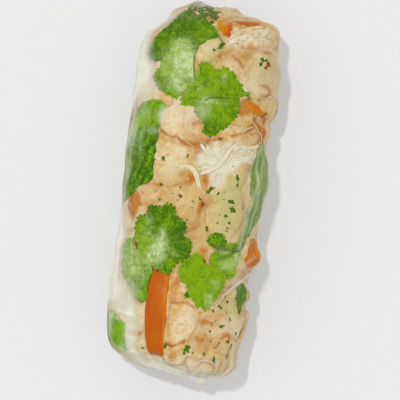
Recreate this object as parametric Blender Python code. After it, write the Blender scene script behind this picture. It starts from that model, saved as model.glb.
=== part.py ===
"""Rice paper roll: chicken, carrot and fresh herbs wound in one soaked sheet of rice paper.

Metres, +Z up. The roll lies along Y on its flattened underside, and the origin is the middle of
that underside. Pieces are laid out on a flat plan, then wound onto the roll: "across" runs from
the top ridge towards the right side, "along" towards the far end, and "depth" is measured in
from the outside of the rice paper.
"""

import math

import bmesh
import bpy
from mathutils import Vector

MM = 0.001

# The roll as a whole.
ROLL_LENGTH = 130 * MM
HALF_WIDTH = 24.3 * MM
AXIS_HEIGHT = 18 * MM  # the roll's axis above the table
CROWN = 20 * MM  # from the axis up to the top of the roll
BELLY = 19.5 * MM  # from the axis down to where the roll would reach if the table didn't flatten it
SECTION_POWER = 2.2  # 2 is an ellipse, and more is boxier
CAP = 17 * MM  # how much of each end is rounded off
SPINE = ROLL_LENGTH / 2 - CAP  # half of the straight stretch between the rounded ends
CORNER_POWERS = {1: (3.1, 1.9), -1: (3.2, 2.1)}  # by end: how square its right and left corners are
LUMP = 0.45 * MM  # how far the packed filling pushes the paper out and in
PLAN_RADIUS = 22 * MM  # turns distance across the plan into angle around the roll

# Depths under the outside of the paper. GAP keeps neighbouring solids apart.
GAP = 0.35 * MM
PAPER = 0.6 * MM
LEAF = 0.35 * MM
UPPER_LEAF = PAPER + GAP
LOWER_LEAF = UPPER_LEAF + LEAF + GAP
FILLING = LOWER_LEAF + LEAF + 2 * GAP
FILLING_FLOOR = 7 * MM
CORE = FILLING_FLOOR + 2 * GAP

# The wound sheet, by angle around the roll from its right side over the top.
SHEET_EDGE = math.radians(-46)  # where the sheet's outer edge lies, low on the right side
SHEET_LAP = math.radians(36)  # how far the sheet runs on under itself
SHEET_RISE = math.radians(26)  # over which it dives under its own edge
END_HOLE = math.radians(84)  # the gathered ends leave a small pucker this far round each end
SHEET_COLUMNS = 33
SPINE_ROWS = 9
CAP_ROWS = 6

# The filling bed on the plan: slices lie in it, and packed chicken carries on all round it.
BED_HALF_WIDTH = 34.5 * MM
BED_HALF_LENGTH = 62 * MM
BED_MARGIN = 1 * MM
BED_WALL = 2 * MM
SEAM = 0.9 * MM  # between neighbouring slices
CELLS = (5 * MM, 8.5 * MM)  # facets of a wound piece are no longer than this, across and along

# Where things lie on the plan, in millimetres: across, along.
CHICKEN_SLICES = (
    (15, 55), (-2, 52), (-17, 53), (23, 41), (8, 39), (-10, 36), (-27, 35), (12, 24.5), (-8, 22.5),
    (28, 22), (-25, 14), (-7, 8.5), (10, 9), (27, 4), (-6, -5.5), (-22, -7), (17, -8), (-14, -20),
    (6, -22), (23, -25), (-28, -33), (-20, -52), (2.5, -38), (19, -43), (1, -54), (17, -59),
    (31, -55),
)
# Strips: across, along, turn in degrees, width, length.
CARROT_BATON = (-8.4, -43.2, 4, 7.2, 31)
CARROT_PEG = (30.5, -20, 4, 4.6, 9.5)
CARROT_SHREDS = ((7.4, 56.5, -25, 2.6, 6), (16.5, 58.5, 65, 2, 7), (19, 31.5, 20, 3.2, 5))
# Leaves: across, along, turn in degrees, width, length.
UPPER_CORIANDER = (
    (-12.8, 39.5, -22, 15.5, 20.5), (7.4, 27.4, 165, 14.5, 13), (-10, -18, 5, 22, 25.5),
    (7.4, -30.5, 168, 18, 21.5),
)
LOWER_CORIANDER = (
    (-12.3, 51.2, -58, 14.5, 27), (3.4, 37.2, 20, 19, 16), (-18.8, -30.2, 165, 11, 22),
    (18.5, -24.5, 30, 8.5, 11), (11.5, -16, 0, 7, 6.5),
)
MINT_LEAVES = ((-23.8, 12, -4, 17, 37.5), (-30.5, -51.5, 4, 7, 14))
SPRING_ONION_BLADES = ((27.3, -0.5, -13, 10, 44), (28.5, -34.5, 10, 4, 11))


def srgb(code):
    """Linear colour of a hex code."""
    parts = [int(code[i : i + 2], 16) / 255 for i in (1, 3, 5)]
    return [p / 12.92 if p <= 0.04045 else ((p + 0.055) / 1.055) ** 2.4 for p in parts]


# Slot: colour, alpha, roughness.
MATERIALS = {
    "rice_paper": (srgb("#DDD8C4"), 0.35, 0.25),
    "chicken": (srgb("#D6BC8E"), 1.0, 0.45),
    "carrot": (srgb("#C4661A"), 1.0, 0.4),
    "coriander": (srgb("#73981A"), 1.0, 0.4),
    "mint": (srgb("#55801A"), 1.0, 0.4),
    "spring_onion": (srgb("#94AC74"), 1.0, 0.35),
}


def clear_scene():
    for item in list(bpy.data.objects):
        bpy.data.objects.remove(item, do_unlink=True)


def make_material(slot):
    colour, alpha, roughness = MATERIALS[slot]
    material = bpy.data.materials.new(slot)
    material.use_nodes = True
    shader = material.node_tree.nodes["Principled BSDF"]
    shader.inputs["Base Color"].default_value = (*colour, 1)
    shader.inputs["Alpha"].default_value = alpha
    shader.inputs["Roughness"].default_value = roughness
    shader.inputs["Metallic"].default_value = 0
    return material


# The roll's surface.


def mix(low, high, share):
    return low + (high - low) * share


def lump(along, around, swing):
    """Unevenness of the packed roll, fading out towards the ends."""
    waves = math.sin(2 * around + along / (9 * MM)) + math.sin(3 * around - along / (13 * MM))
    return 0.5 * LUMP * waves * math.cos(swing) ** 2


def roll_point(along, around, depth):
    """The point this far along the roll, at this angle around it and this deep under its outside."""
    end = math.copysign(1, along)
    swing = min(max(0.0, abs(along) - SPINE) / CAP, math.pi / 2)
    upright = CROWN if math.sin(around) > 0 else BELLY
    across = abs(math.cos(around) / HALF_WIDTH) ** SECTION_POWER
    girth = (across + abs(math.sin(around) / upright) ** SECTION_POWER) ** (-1 / SECTION_POWER)
    power = mix(*CORNER_POWERS[end], (1 - math.cos(around)) / 2)
    reach = ((math.cos(swing) / girth) ** power + (math.sin(swing) / CAP) ** power) ** (-1 / power)
    reach += lump(along, around, swing) - depth
    side = math.cos(swing)
    direction = Vector((side * math.cos(around), end * math.sin(swing), side * math.sin(around)))
    if direction.z < 0:
        reach = min(reach, (AXIS_HEIGHT - depth) / -direction.z)
    return Vector((0, max(-SPINE, min(SPINE, along)), AXIS_HEIGHT)) + direction * reach


def wound(spot, depth):
    """A spot on the plan, wound onto the roll."""
    return roll_point(spot[1], math.pi / 2 - spot[0] / PLAN_RADIUS, depth)


# Outlines on the plan, anticlockwise.


def placed(outline, across, along, turn):
    """The outline turned anticlockwise by this many degrees and moved to its place in millimetres."""
    cos, sin = math.cos(math.radians(turn)), math.sin(math.radians(turn))
    return [
        (across * MM + x * cos - y * sin, along * MM + x * sin + y * cos) for x, y in outline
    ]


def strip_outline(width, length):
    """A cut strip whose long sides bow out a little."""
    sides = [(-1, -1), (0, -1), (1, -1), (1.08, -0.5), (1.12, 0), (1.08, 0.5)]
    sides += [(-x, -y) for x, y in sides]
    return [(x * width / 2.24 * MM, y * length / 2 * MM) for x, y in sides]


def coriander_outline(width, length, teeth=15):
    """A fan of three rounded lobes with a toothed edge, narrowing to its stalk."""
    outline = []
    for step in range(teeth * 2):
        turn = math.pi * step / teeth
        reach = 0.91 + 0.05 * math.cos(3 * turn) + 0.04 * math.cos(teeth * turn)
        reach *= 1 - 0.14 * max(0.0, -math.cos(turn)) ** 3
        outline.append((-reach * width / 2 * MM * math.sin(turn), reach * length / 2 * MM * math.cos(turn)))
    return outline


def blade_outline(width, length, steps=9):
    """A long leaf, widest above its middle, with a pointed lower tip."""
    right = []
    for step in range(1, steps):
        share = step / steps
        half = width / 2 * math.sin(math.pi * share**1.6) ** 0.7
        right.append((half * MM, (share - 0.5) * length * MM))
    left = [(-x, y) for x, y in reversed(right)]
    return [(0, -length / 2 * MM)] + right + [(0, length / 2 * MM)] + left


def clipped(outline, normal, limit):
    """The part of a convex outline that lies no further than limit along normal."""
    kept = []
    for here, there in zip(outline, outline[1:] + outline[:1]):
        near = here[0] * normal[0] + here[1] * normal[1] - limit
        far = there[0] * normal[0] + there[1] * normal[1] - limit
        if near <= 0:
            kept.append(here)
        if near * far < 0:
            share = near / (near - far)
            kept.append((mix(here[0], there[0], share), mix(here[1], there[1], share)))
    return kept


def rounded(outline):
    """A convex outline with its corners cut off."""
    cut = []
    for here, there in zip(outline, outline[1:] + outline[:1]):
        cut += [(mix(here[0], there[0], s), mix(here[1], there[1], s)) for s in (0.22, 0.78)]
    return cut


def slice_outline(middle, middles, strips):
    """The ground nearer this slice's middle than any other's, clear of the strips laid among them."""
    wide, long = BED_HALF_WIDTH, BED_HALF_LENGTH
    outline = [(-wide, -long), (wide, -long), (wide, long), (-wide, long)]
    for other in middles:
        if other == middle:
            continue
        away = [(b - a) * MM for a, b in zip(middle, other)]
        distance = math.hypot(*away)
        normal = [a / distance for a in away]
        halfway = sum((a + b) / 2 * MM * n for a, b, n in zip(middle, other, normal))
        outline = clipped(outline, normal, halfway - SEAM / 2)
    for across, along, turn, width, length in strips:
        cos, sin = math.cos(math.radians(turn)), math.sin(math.radians(turn))
        sides = [((cos, sin), width), ((-cos, -sin), width), ((-sin, cos), length), ((sin, -cos), length)]
        offset = [m - c for m, c in zip(middle, (across, along))]
        clear = [offset[0] * n[0] + offset[1] * n[1] - reach / 2 for n, reach in sides]
        normal, reach = sides[clear.index(max(clear))]
        start = (across * normal[0] + along * normal[1] + reach / 2) * MM + SEAM / 2
        outline = clipped(outline, [-n for n in normal], -start)
    return rounded(outline)


# Solids.


def add_object(name, slot, points, faces):
    """One closed solid, its faces outward and its round parts shaded smooth."""
    mesh = bpy.data.meshes.new(name)
    shape = bmesh.new()
    corners = [shape.verts.new(p) for p in points]
    for face in faces:
        shape.faces.new([corners[i] for i in face])
    bmesh.ops.recalc_face_normals(shape, faces=shape.faces)
    shape.to_mesh(mesh)
    shape.free()
    mesh.shade_smooth()
    mesh.set_sharp_from_angle(angle=math.radians(40))
    mesh.materials.append(bpy.data.materials[slot])
    bpy.context.collection.objects.link(bpy.data.objects.new(name, mesh))


def plan_cells(outline):
    """The outline cut into small cells: their corners, the cells, and the edges round the rim."""
    sheet = bmesh.new()
    sheet.faces.new([sheet.verts.new((*spot, 0)) for spot in outline])
    for axis in (0, 1):
        low, high = min(s[axis] for s in outline), max(s[axis] for s in outline)
        cuts = math.ceil((high - low) / CELLS[axis])
        normal = Vector((1 - axis, axis, 0))
        for cut in range(1, cuts):
            everything = sheet.verts[:] + sheet.edges[:] + sheet.faces[:]
            place = normal * mix(low, high, cut / cuts)
            bmesh.ops.bisect_plane(sheet, geom=everything, dist=0.05 * MM, plane_co=place, plane_no=normal)
    sheet.verts.index_update()
    spots = [(v.co.x, v.co.y) for v in sheet.verts]
    cells = [[v.index for v in face.verts] for face in sheet.faces]
    rim = [
        (loop.vert.index, loop.link_loop_next.vert.index)
        for face in sheet.faces
        for loop in face.loops
        if loop.edge.is_boundary
    ]
    sheet.free()
    return spots, cells, rim


def add_wound_slab(name, slot, outline, levels):
    """A slab with this plan outline; levels run down from its top as (depth, outline scale)."""
    spots, cells, rim = plan_cells(outline)
    middle = [sum(s[i] for s in outline) / len(outline) for i in (0, 1)]
    points = []
    for depth, scale in levels:
        points += [wound([mix(m, c, scale) for m, c in zip(middle, s)], depth) for s in spots]
    count = len(spots)
    below = (len(levels) - 1) * count
    faces = cells + [[i + below for i in reversed(cell)] for cell in cells]
    for level in range(len(levels) - 1):
        top, bottom = level * count, (level + 1) * count
        faces += [[b + top, a + top, a + bottom, b + bottom] for a, b in rim]
    used = sorted({i for face in faces for i in face})
    renumbered = {old: new for new, old in enumerate(used)}
    add_object(name, slot, [points[i] for i in used], [[renumbered[i] for i in f] for f in faces])


def add_wrapper():
    """One sheet of rice paper: once round the filling, then on under its own outer edge."""
    rows = [-SPINE - CAP * END_HOLE * (1 - r / CAP_ROWS) for r in range(CAP_ROWS)]
    rows += [mix(-SPINE, SPINE, r / SPINE_ROWS) for r in range(SPINE_ROWS + 1)]
    rows += [SPINE + CAP * END_HOLE * (r + 1) / CAP_ROWS for r in range(CAP_ROWS)]
    columns = SHEET_COLUMNS + 1
    points = []
    for under in (0, PAPER):
        for along in rows:
            for column in range(columns):
                turned = (2 * math.pi + SHEET_LAP) * column / SHEET_COLUMNS
                dive = min(1.0, max(0.0, (turned - 2 * math.pi + SHEET_RISE) / SHEET_RISE))
                depth = UPPER_LEAF * dive * dive * (3 - 2 * dive) + under
                points.append(roll_point(along, SHEET_EDGE + turned, depth))
    side = len(rows) * columns
    faces = []
    for row in range(len(rows) - 1):
        for column in range(SHEET_COLUMNS):
            a = row * columns + column
            quad = [a, a + 1, a + columns + 1, a + columns]
            faces += [quad, [i + side for i in reversed(quad)]]
    last_row = (len(rows) - 1) * columns
    for column in range(SHEET_COLUMNS):
        for start in (0, last_row):
            a = start + column
            faces.append([a, a + 1, a + 1 + side, a + side])
    for row in range(len(rows) - 1):
        for start in (0, SHEET_COLUMNS):
            a = row * columns + start
            faces.append([a, a + columns, a + columns + side, a + side])
    add_object("wrapper", "rice_paper", points, faces)


def rest_on_origin():
    """Moves every piece so that the middle of the roll's underside is the origin."""
    wrapper = [v.co for v in bpy.data.objects["wrapper"].data.vertices]
    low, high = ([pick(c[i] for c in wrapper) for i in range(3)] for pick in (min, max))
    shift = Vector((-(low[0] + high[0]) / 2, -(low[1] + high[1]) / 2, -low[2]))
    for item in bpy.data.objects:
        for vertex in item.data.vertices:
            vertex.co += shift


def add_core():
    """Packed chicken, with a long bed in its top for the slices."""
    bed, brim = BED_HALF_LENGTH + BED_MARGIN, BED_HALF_LENGTH + BED_MARGIN + BED_WALL
    floor_rows = [mix(-bed, bed, r / 12) for r in range(13)]
    tail = SPINE + CAP * math.pi / 2
    end_rows = [mix(brim, tail, r / 2) for r in range(2)]
    rows = [-r for r in reversed(end_rows)] + floor_rows + end_rows
    wide, lip = BED_HALF_WIDTH + BED_MARGIN, BED_HALF_WIDTH + BED_MARGIN + BED_WALL
    whole = PLAN_RADIUS * 2 * math.pi
    columns = [mix(-wide, wide, c / 12) for c in range(13)]
    columns += [mix(lip, whole - lip, c / 10) for c in range(11)]
    points = []
    for along in rows:
        for across in columns:
            in_bed = abs(along) <= bed * 1.0001 and across <= wide * 1.0001
            points.append(wound((across, along), CORE if in_bed else FILLING))
    width = len(columns)
    ring = [(c, (c + 1) % width) for c in range(width)]
    faces = []
    for start in range(0, (len(rows) - 1) * width, width):
        faces += [[start + a, start + b, start + width + b, start + width + a] for a, b in ring]
    for start, along in ((0, -tail), ((len(rows) - 1) * width, tail)):
        points.append(roll_point(along, 0, FILLING))
        faces += [[start + a, start + b, len(points) - 1] for a, b in ring]
    add_object("filling_core", "chicken", points, faces)


def build():
    clear_scene()
    for slot in MATERIALS:
        make_material(slot)
    add_wrapper()
    add_core()
    thick = [(FILLING, 0.9), (FILLING + 1 * MM, 1), (FILLING_FLOOR, 1)]
    strips = (CARROT_BATON, CARROT_PEG)
    for number, middle in enumerate(CHICKEN_SLICES, 1):
        outline = slice_outline(middle, CHICKEN_SLICES, strips)
        add_wound_slab(f"chicken_{number:02d}", "chicken", outline, thick)
    cut = [(FILLING, 0.92), (FILLING + 0.5 * MM, 1), (FILLING_FLOOR, 1)]
    for name, (across, along, turn, width, length) in zip(("carrot_baton", "carrot_peg"), strips):
        outline = placed(strip_outline(width, length), across, along, turn)
        add_wound_slab(name, "carrot", outline, cut)
    shallow = [(UPPER_LEAF + GAP, 0.85), (LOWER_LEAF + LEAF, 1)]
    upper = [(UPPER_LEAF, 1), (UPPER_LEAF + LEAF, 1)]
    lower = [(LOWER_LEAF, 1), (LOWER_LEAF + LEAF, 1)]
    groups = (
        ("carrot_shred", "carrot", CARROT_SHREDS, strip_outline, shallow),
        ("coriander_upper", "coriander", UPPER_CORIANDER, coriander_outline, upper),
        ("coriander_lower", "coriander", LOWER_CORIANDER, coriander_outline, lower),
        ("mint_leaf", "mint", MINT_LEAVES, blade_outline, lower),
        ("spring_onion", "spring_onion", SPRING_ONION_BLADES, blade_outline, upper),
    )
    for name, slot, places, outline_of, levels in groups:
        for number, (across, along, turn, width, length) in enumerate(places, 1):
            outline = placed(outline_of(width, length), across, along, turn)
            add_wound_slab(f"{name}_{number}", slot, outline, levels)
    rest_on_origin()


build()
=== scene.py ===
"""A fresh rice paper roll: chicken, carrot, coriander and mint under a wet, see-through sheet.

Everything is laid out in the roll's own terms: "along" its length, "across" it from the top
ridge towards the right side, and a height above or below the outside of the CAD wrapper.
"""

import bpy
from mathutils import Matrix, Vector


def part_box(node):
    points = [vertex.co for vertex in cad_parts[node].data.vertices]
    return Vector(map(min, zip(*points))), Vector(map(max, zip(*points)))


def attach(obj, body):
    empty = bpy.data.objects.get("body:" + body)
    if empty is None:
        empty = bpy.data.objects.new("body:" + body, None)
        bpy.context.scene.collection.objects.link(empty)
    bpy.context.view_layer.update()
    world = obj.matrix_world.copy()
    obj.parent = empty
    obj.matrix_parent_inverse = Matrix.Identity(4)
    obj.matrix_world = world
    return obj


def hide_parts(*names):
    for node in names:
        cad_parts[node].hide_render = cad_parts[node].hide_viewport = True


bl_info = {
    "name": "Rice Paper Roll",
    "version": (1, 0, 0),
    "blender": (4, 5, 0),
    "location": "View3D > Sidebar > Rice Paper Roll",
    "description": "Builds the paper, filling and herbs of a fresh rice paper roll on its CAD frame",
    "category": "Add Mesh",
}

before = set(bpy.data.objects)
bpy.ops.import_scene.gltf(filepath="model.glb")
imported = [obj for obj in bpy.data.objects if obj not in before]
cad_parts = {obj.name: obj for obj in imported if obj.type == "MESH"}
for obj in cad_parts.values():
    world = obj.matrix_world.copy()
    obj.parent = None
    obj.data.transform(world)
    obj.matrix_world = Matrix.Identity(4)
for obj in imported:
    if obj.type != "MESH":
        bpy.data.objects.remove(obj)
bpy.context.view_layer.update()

import math

import bpy
import numpy as np
from mathutils import Vector, kdtree, noise
from mathutils.bvhtree import BVHTree

MM = 0.001
CHICKEN_NODES = sorted(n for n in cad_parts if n.startswith("chicken_"))

# The roll's own terms, from the CAD wrapper.
PAPER_LOW, PAPER_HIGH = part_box("wrapper")
CAP = 17 * MM  # length of a rounded end
SPINE = (PAPER_HIGH.y - PAPER_LOW.y) / 2 - CAP
TAIL = SPINE + CAP * math.pi / 2
WIDEST_AT = 0.469  # how far up the roll it is widest, as a share of its height
AXIS = WIDEST_AT * PAPER_HIGH.z
GIRTH_RADIUS = 22 * MM  # turns distance across into angle around
BEYOND = 60 * MM  # a distance from the axis that nothing reaches
FILLING_FLOOR = AXIS - 0.7 * MM  # how far below the axis the filling may come
CARROT_BED = 1.6 * MM  # how deep the carrot is let into the chicken
LEAF_LIFT = 0.42  # how far a leaf stands off what it lies on, in millimetres
LEAF_THICKNESS = 0.26 * MM
LEAF_RINGS = 20  # rings of points from a leaf's hub to its edge
LEAF_SPIN = np.linspace(0, 2 * math.pi, 300, endpoint=False)  # directions round its hub
TUFT = (10, 8)  # middle of the white tuft, across and along, in millimetres
PLEATS = 15  # pleats round each end of the paper
LAP_AT = 54  # how far left of the top ridge the paper laps over itself, in millimetres
FLOOR_GAP = 0.1 * MM  # keeps the table just under the roll
KEY_FROM = (-0.21, 0.195, 0.957)  # the key light is nearly overhead, a little to the far left
KEY_SOFTNESS = math.radians(1.6)

ROWS, COLUMNS = 300, 300
ALONG = np.linspace(-TAIL, TAIL, ROWS + 2)[1:-1]
AROUND = np.arange(COLUMNS) * 2 * math.pi / COLUMNS
GRID_ALONG, GRID_AROUND = np.meshgrid(ALONG, AROUND, indexing="ij")

# Filled in by the operators, in order, for the ones that come after.
shape = {}


# Fields over the roll.


def rays(along, around):
    """Rays out of the roll's axis: where they start and which way they point."""
    swing = np.clip((np.abs(along) - SPINE) / CAP, 0, math.pi / 2)
    side = np.cos(swing)
    starts = [np.zeros_like(along), np.clip(along, -SPINE, SPINE), np.full_like(along, AXIS)]
    ways = [side * np.cos(around), np.sign(along) * np.sin(swing), side * np.sin(around)]
    return np.stack(starts, -1), np.stack(ways, -1)


STEEP = -rays(GRID_ALONG, GRID_AROUND)[1][..., 2]  # how steeply each ray of the grid points down


def place(along, around, radius):
    """Points at these radii from the roll's axis."""
    starts, ways = rays(along, around)
    return starts + ways * radius[..., None]


def turned(across):
    """The angle around the roll of a distance across it."""
    return math.pi / 2 - across / GIRTH_RADIUS


def down_to(level):
    """The radius at which each ray comes down to a level plane this far below the axis."""
    return np.where(STEEP > 0.05, level / np.maximum(STEEP, 0.05), 1)


def off_hub(direction, far):
    """A place so far off a leaf's hub, in degrees clockwise from the far end."""
    turn = math.radians(direction)
    return far * math.sin(turn), far * math.cos(turn)


def middle_of(node):
    """The middle of a CAD node's box."""
    low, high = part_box(node)
    return (low + high) / 2


def laid_out(points):
    """Along and around of points, as two arrays."""
    points = np.asarray(points, float)
    x, y, z = points[..., 0], points[..., 1], points[..., 2] - AXIS
    past = np.maximum(np.abs(y) - SPINE, 0)
    swing = np.arctan2(past, np.hypot(x, z))
    return np.sign(y) * (np.minimum(np.abs(y), SPINE) + CAP * swing), np.arctan2(z, x)


def cast(objects):
    """The outermost radius of these meshes along every ray, and 0 where there is nothing."""
    points, faces = [], []
    for item in objects:
        start = len(points)
        points += [v.co for v in item.data.vertices]
        faces += [[start + i for i in p.vertices] for p in item.data.polygons]
    tree = BVHTree.FromPolygons(points, faces)
    starts, ways = rays(GRID_ALONG, GRID_AROUND)
    found = np.zeros(ROWS * COLUMNS)
    for i, (start, way) in enumerate(zip(starts.reshape(-1, 3), ways.reshape(-1, 3))):
        hit = tree.ray_cast(Vector(start + way * BEYOND), Vector(-way), BEYOND)
        if hit[0] is not None:
            found[i] = BEYOND - hit[3]
    return found.reshape(ROWS, COLUMNS)


def sample(field, along, around):
    """The field's values at any points, between the grid's own."""
    row = np.clip((along - ALONG[0]) / (ALONG[1] - ALONG[0]), 0, ROWS - 1.001)
    column = np.mod(around / (2 * math.pi), 1) * COLUMNS
    i, j = row.astype(int), column.astype(int) % COLUMNS
    down, over = row - i, column - np.floor(column)
    k = (j + 1) % COLUMNS
    near = field[i, j] * (1 - over) + field[i, k] * over
    return near * (1 - down) + (field[i + 1, j] * (1 - over) + field[i + 1, k] * over) * down


def blur(field, size):
    """The field smoothed over this distance along and around the roll."""
    gaps = (ALONG[:, None] - ALONG[None, :]) / size
    spread = np.exp(-0.5 * gaps**2)
    field = (spread / spread.sum(1, keepdims=True)) @ field
    swing = np.clip((np.abs(ALONG) - SPINE) / CAP, 0, 1.5)
    angle = size / (GIRTH_RADIUS * np.cos(swing))
    waves = np.arange(COLUMNS // 2 + 1)
    fade = np.exp(-0.5 * (waves[None, :] * angle[:, None]) ** 2)
    return np.fft.irfft(np.fft.rfft(field, axis=1) * fade, COLUMNS, axis=1)


def draped(bed, rounds):
    """A taut skin over the bed: it touches the bed's high places and spans what lies between."""
    skin = bed.copy()
    for _ in range(rounds):
        rows = np.concatenate([skin[:1], skin, skin[-1:]])
        skin = (rows[:-2] + rows[2:] + np.roll(skin, 1, 1) + np.roll(skin, -1, 1)) / 4
        skin = np.maximum(skin, bed)
    return skin


def ripple(points, size, seed):
    """Smooth noise from -1 to 1 at each point, with bumps of about this size."""
    shift = Vector((seed * 17.3, seed * 5.1, seed * 9.7))
    flat = np.asarray(points).reshape(-1, 3) / size
    return np.array([noise.noise(Vector(p) + shift) for p in flat]).reshape(np.shape(points)[:-1])


def patch(places, across, along):
    """Soft patches: across, along, half width, half length in millimetres, and strength."""
    total = np.zeros_like(across)
    for middle, place_along, wide, long, strength in places:
        reach = ((across / MM - middle) / wide) ** 2 + ((along / MM - place_along) / long) ** 2
        total += strength * np.exp(-(reach**1.5))
    return total


def plan_across(around):
    """How far across each angle lies, from the top ridge, positive on the right."""
    turn = np.mod(math.pi / 2 - around + math.pi, 2 * math.pi)
    return turn * GIRTH_RADIUS - math.pi * GIRTH_RADIUS


# Meshes.


def add_mesh(name, points, faces, material, **attributes):
    """A smooth-shaded mesh in the scene, with its place in its points."""
    mesh = bpy.data.meshes.new(name)
    mesh.from_pydata(np.asarray(points).reshape(-1, 3).tolist(), [], faces)
    for key, values in attributes.items():
        values = np.asarray(values, float)
        if values.ndim == 2 and values.shape[1] == 3:
            mesh.attributes.new(key, "FLOAT_VECTOR", "POINT").data.foreach_set("vector", values.ravel())
        else:
            mesh.attributes.new(key, "FLOAT", "POINT").data.foreach_set("value", values.ravel())
    mesh.shade_smooth()
    mesh.materials.append(material)
    item = bpy.data.objects.new(name, mesh)
    bpy.context.scene.collection.objects.link(item)
    return item


def keep(item, nodes=()):
    """Makes a finished mesh a piece of the roll that stands for these CAD nodes."""
    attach(item, "root")
    if nodes:
        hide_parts(*nodes)


def whole_skin(name, radius, material, **fields):
    """A closed skin right round the roll at these radii."""
    points = place(GRID_ALONG, GRID_AROUND, radius).reshape(-1, 3)
    poles = [points[:COLUMNS].mean(0), points[-COLUMNS:].mean(0)]
    ring = np.arange(COLUMNS)
    after = (ring + 1) % COLUMNS
    faces = []
    for row in range(ROWS - 1):
        low, high = row * COLUMNS, (row + 1) * COLUMNS
        faces += np.stack([low + after, low + ring, high + ring, high + after], 1).tolist()
    last = (ROWS - 1) * COLUMNS
    pole = ROWS * COLUMNS
    faces += np.stack([ring, after, np.full(COLUMNS, pole)], 1).tolist()
    faces += np.stack([last + after, last + ring, np.full(COLUMNS, pole + 1)], 1).tolist()
    values = {}
    for key, field in fields.items():
        flat = field.reshape(ROWS * COLUMNS, -1)
        ends = [flat[:COLUMNS].mean(0), flat[-COLUMNS:].mean(0)]
        values[key] = np.concatenate([flat, ends]).squeeze()
    return add_mesh(name, np.concatenate([points, poles]), faces, material, **values)


def blade(along, around, top, under):
    """Points and faces of a closed blade: rings of points from its middle out to its rim."""
    rings, spokes = along.shape
    upper = place(along, around, top).reshape(-1, 3)
    lower = place(along, around, under).reshape(-1, 3)
    count = rings * spokes
    middles = [upper[:spokes].mean(0), lower[:spokes].mean(0)]
    spoke = np.arange(spokes)
    after = (spoke + 1) % spokes
    faces = []
    for ring in range(rings - 1):
        near, far = ring * spokes, (ring + 1) * spokes
        faces += np.stack([near + after, far + after, far + spoke, near + spoke], 1).tolist()
        near, far = near + count, far + count
        faces += np.stack([near + spoke, far + spoke, far + after, near + after], 1).tolist()
    rim = (rings - 1) * spokes
    faces += np.stack([rim + after, rim + count + after, rim + count + spoke, rim + spoke], 1).tolist()
    faces += np.stack([after, spoke, np.full(spokes, 2 * count)], 1).tolist()
    faces += np.stack([count + spoke, count + after, np.full(spokes, 2 * count + 1)], 1).tolist()
    return np.concatenate([upper, lower, middles]), faces


def two_sided(name, along, around, top, under, material, **fields):
    """A closed blade as a mesh, with the same fields on both its sides."""
    points, faces = blade(along, around, top, under)
    values = {}
    for key, field in fields.items():
        flat = field.reshape(-1)
        values[key] = np.concatenate([flat, flat, [flat[: along.shape[1]].mean()] * 2])
    return add_mesh(name, points, faces, material, **values)


def swept(name, paths, material, sides=8, **fields):
    """Closed tapered strands: each path is (points, half widths, half heights, up directions)."""
    points, faces, values = [], [], {key: [] for key in fields}
    for number, (line, wide, high, ups) in enumerate(paths):
        steps = len(line)
        run = np.gradient(line, axis=0)
        run /= np.linalg.norm(run, axis=1, keepdims=True)
        out = np.cross(run, ups)
        out /= np.linalg.norm(out, axis=1, keepdims=True)
        start = len(points)
        for side in range(sides):
            turn = 2 * math.pi * side / sides
            ring = out * (wide * math.cos(turn))[:, None] + ups * (high * math.sin(turn))[:, None]
            points += (line + ring).tolist()
        for side in range(sides):
            here, there = start + side * steps, start + (side + 1) % sides * steps
            faces += [[here + s, here + s + 1, there + s + 1, there + s] for s in range(steps - 1)]
        faces.append([start + side * steps for side in range(sides)])
        faces.append([start + side * steps + steps - 1 for side in reversed(range(sides))])
        for key, field in fields.items():
            values[key] += [field[number]] * (steps * sides)
    return add_mesh(name, points, faces, material, **values)


# Materials.

# Kinds of node, and settings, that come up again and again.
MATH, MIX, NOISE = "ShaderNodeMath", "ShaderNodeMix", "ShaderNodeTexNoise"
ATTRIBUTE, MAPPING, BUMP = "ShaderNodeAttribute", "ShaderNodeMapping", "ShaderNodeBump"
PLUS, TIMES = {"operation": "ADD"}, {"operation": "MULTIPLY"}
TIMES_PLUS = {"operation": "MULTIPLY_ADD"}
CLAMPED = {"use_clamp": True}
TINTS = {"data_type": "RGBA"}  # its sockets: 0 the share, 6 the tint below, 7 the tint above


def add_node(tree, kind, sockets=None, **settings):
    """Adds a node with these settings, and returns its outputs. Each input socket that is named
    is given a value or another node's output."""
    item = tree.nodes.new(kind)
    for key, value in settings.items():
        setattr(item, key, value)
    for key, value in (sockets or {}).items():
        if isinstance(value, bpy.types.NodeSocket):
            tree.links.new(value, item.inputs[key])
        else:
            item.inputs[key].default_value = value
    return item.outputs


def new_material(name, **sockets):
    """A material with one Principled shader whose sockets have these values."""
    material = bpy.data.materials.new(name)
    material.use_nodes = True
    shader = material.node_tree.nodes["Principled BSDF"]
    for key, value in sockets.items():
        shader.inputs[key.replace("_", " ")].default_value = value
    return material, material.node_tree, shader


def colour(code):
    """The opaque linear colour of an sRGB hex code."""
    parts = [int(code[i : i + 2], 16) / 255 for i in (1, 3, 5)]
    return (*(p / 12.92 if p <= 0.04045 else ((p + 0.055) / 1.055) ** 2.4 for p in parts), 1)


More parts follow.
